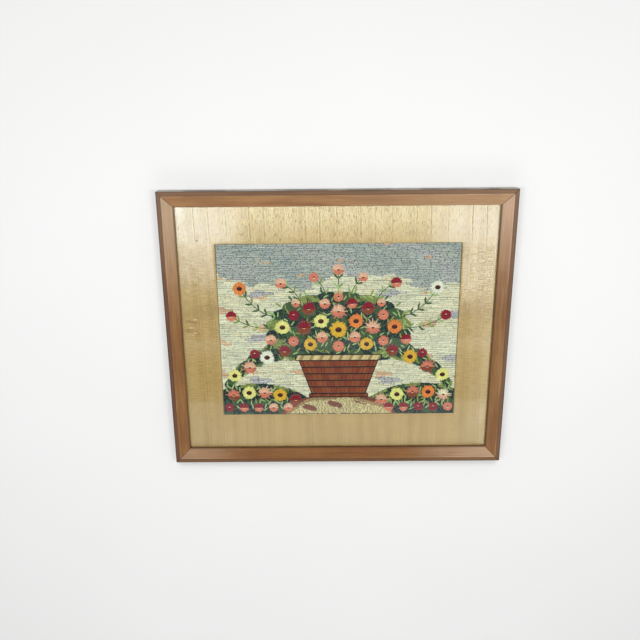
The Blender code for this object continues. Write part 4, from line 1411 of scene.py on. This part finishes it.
def addFlower(stitches, number, kind, x, y, radius):
    # petals are stitches from the core out to the rim, at even turns with uneven ends; a second
    # ring of shorter ones lies over them
    spec = flowerKinds[kind]
    upper, lower = spec["tones"][number % 4]
    centre = np.array([x, y])
    petals = max(leastPetals, int(round(spec["petals"] * radius / usualRadius)))
    core, squash = radius * spec["core"], spec["squash"]
    for layer, (share, lift, narrow) in enumerate(((1.0, 0.45, 1.0), (spec["inner"], 0.78, 0.92))):
        turns = (np.arange(petals) + 0.5 * layer + chance.normal(0, 0.10, petals)) / petals
        out = ahead(2 * np.pi * turns)
        reach = radius * share * (1.02 + chance.normal(0, spec["uneven"], petals).clip(-0.3, 0.12))
        reach *= np.where(np.arange(petals) % 2, *spec["alternate"])
        foot = centre + out * core * np.array([0.8, 0.8 * squash])
        tint = np.where((out[:, 1:] > -0.12), colours[upper], colours[lower])
        tint = tint * (1 + chance.normal(0, 0.07, (petals, 1)))
        width = min(spec["width"], 2 * np.pi * radius / petals * 0.95) * narrow
        stitches.add(np.hstack([foot, centre + out * reach[:, None]]), width, 1.05, lift,
                     tint.clip(0, 1))
    if kind == "sunflower":
        seeds = np.arange(-core * squash + 0.8, core * squash, 1.45)
        half = core * np.sqrt(np.maximum(0.05, 1 - (seeds / (core * squash)) ** 2)) + 0.4
        ends = endsOf(x - half, y + seeds, x + half, y + seeds)
        tint = np.where((seeds > core * 0.35)[:, None], colours["seedRed"], colours["seed"])
        stitches.add(ends, 1.75, 1.05, 0.95, tint)
    else:
        for row, name in zip(eye["rows"], eye["odd" if number % 2 else "even"]):
            ends = [[x - eye["half"], y + row, x + eye["half"], y + row]]
            stitches.add(ends, 1.6, 0.85, 1.25, colours[name])


def stitchFlowers():
    # three meshes, each with every third flower
    for part, name in enumerate(("flowerStitchesA", "flowerStitchesB", "flowerStitchesC")):
        stitches = Stitches(name)
        for number, flower in enumerate(flowers):
            if number % 3 == part:
                addFlower(stitches, number // 2, *flower)
        yield stitches.make()


# Cloth under the stitches, dark and cool in colour to stand in for the shade between them

# pitch and ripple in mm, and swell in mm a radian
linen = {"colour": tone(122, 132, 122), "dark": tone(66, 76, 72), "pitch": 0.75, "ripple": 0.05,
         "swell": (31, 27), "grid": (91, 75)}


def linenFinish(spec):
    # crossed sine waves make a plain weave, with slubs along it
    finish = Finish("linen", Roughness=0.9)
    x, y = finish.place()[:2]
    waveX, waveY = (finish.math("SINE", axis * (2 * math.pi / spec["pitch"])) for axis in (x, y))
    over = waveX * waveY * 0.5 + 0.5
    slub = finish.noise(x / 0.9, y / 14.0)
    shade = finish.step(over * 0.7 + slub * 0.3, 0.2, 0.8)
    return finish.set(
        Base_Color=finish.mix(shade, spec["dark"], spec["colour"]),
        Normal=finish.bump(over * 0.6 + slub * 0.4, 0.0002, 0.7),
    )


def makeCloth(spec):
    # a closed slab: the top is a grid with faint swells, the bottom is flat, and faces along the
    # rim join them
    low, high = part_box("embroidered_cloth")
    x, y = np.meshgrid(*(np.linspace(low[i], high[i], spec["grid"][i]) for i in (0, 1)))
    across, along = spec["swell"]
    swell = np.sin(x / mm / across + 0.5) * np.sin(y / mm / along)
    top = np.stack([x, y, clothTop - spec["ripple"] * mm * (1 + swell)], axis=-1).reshape(-1, 3)
    bottom = np.stack([x, y, np.full(x.shape, low[2])], axis=-1).reshape(-1, 3)
    faces = gridQuads(*x.shape)
    count = x.size
    grid = np.arange(count).reshape(x.shape)
    rim = np.concatenate([grid[0, :-1], grid[:-1, -1], grid[-1, :0:-1], grid[:0:-1, 0]])
    following = np.roll(rim, -1)
    sides = np.stack([rim, rim + count, following + count, following], axis=1)
    points = np.concatenate([top, bottom])
    sets = [faces, faces[:, ::-1] + count, sides]
    piece = addPiece("linenGround", points, sets, linenFinish(spec))
    piece.data.set_sharp_from_angle(angle=math.radians(40))
    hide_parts("embroidered_cloth")


onCloth = [*stitchGround(), stitchFoliage(), stitchMounds(), stitchBasket(), stitchLeaves(),
           *stitchFlowers()]
makeCloth(linen)
print("embroidery made")


# Backing: plain fibre board

backing = {"colour": tone(150, 118, 84), "dark": tone(112, 84, 58), "fleck": tone(190, 160, 122)}


def finishBacking(spec):
    finish = Finish("fibreBoard", Roughness=0.82)
    x, y, z = finish.place()
    fibre = finish.noise(x / 2.4, y / 1.1, z, 5.0, 0.7)
    cloud = finish.noise(x / 60.0, y / 60.0, z, 2.0)
    fleck = finish.step(finish.noise(x / 3.5, y / 0.8, 3.0, 2.0), 0.66, 0.74)
    shade = finish.step(fibre * 0.7 + cloud * 0.3, 0.3, 0.7)
    colour = finish.layers(
        finish.mix(shade, spec["dark"], spec["colour"]), (fleck * 0.6, spec["fleck"])
    )
    dress("backing_board", finish.set(Base_Color=colour, Normal=finish.bump(fibre, 0.0002, 0.5)))


finishBacking(backing)
print("backing finished")

plain = [[[float(v) for v in corner] for corner in box] for box in (cadBox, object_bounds())]
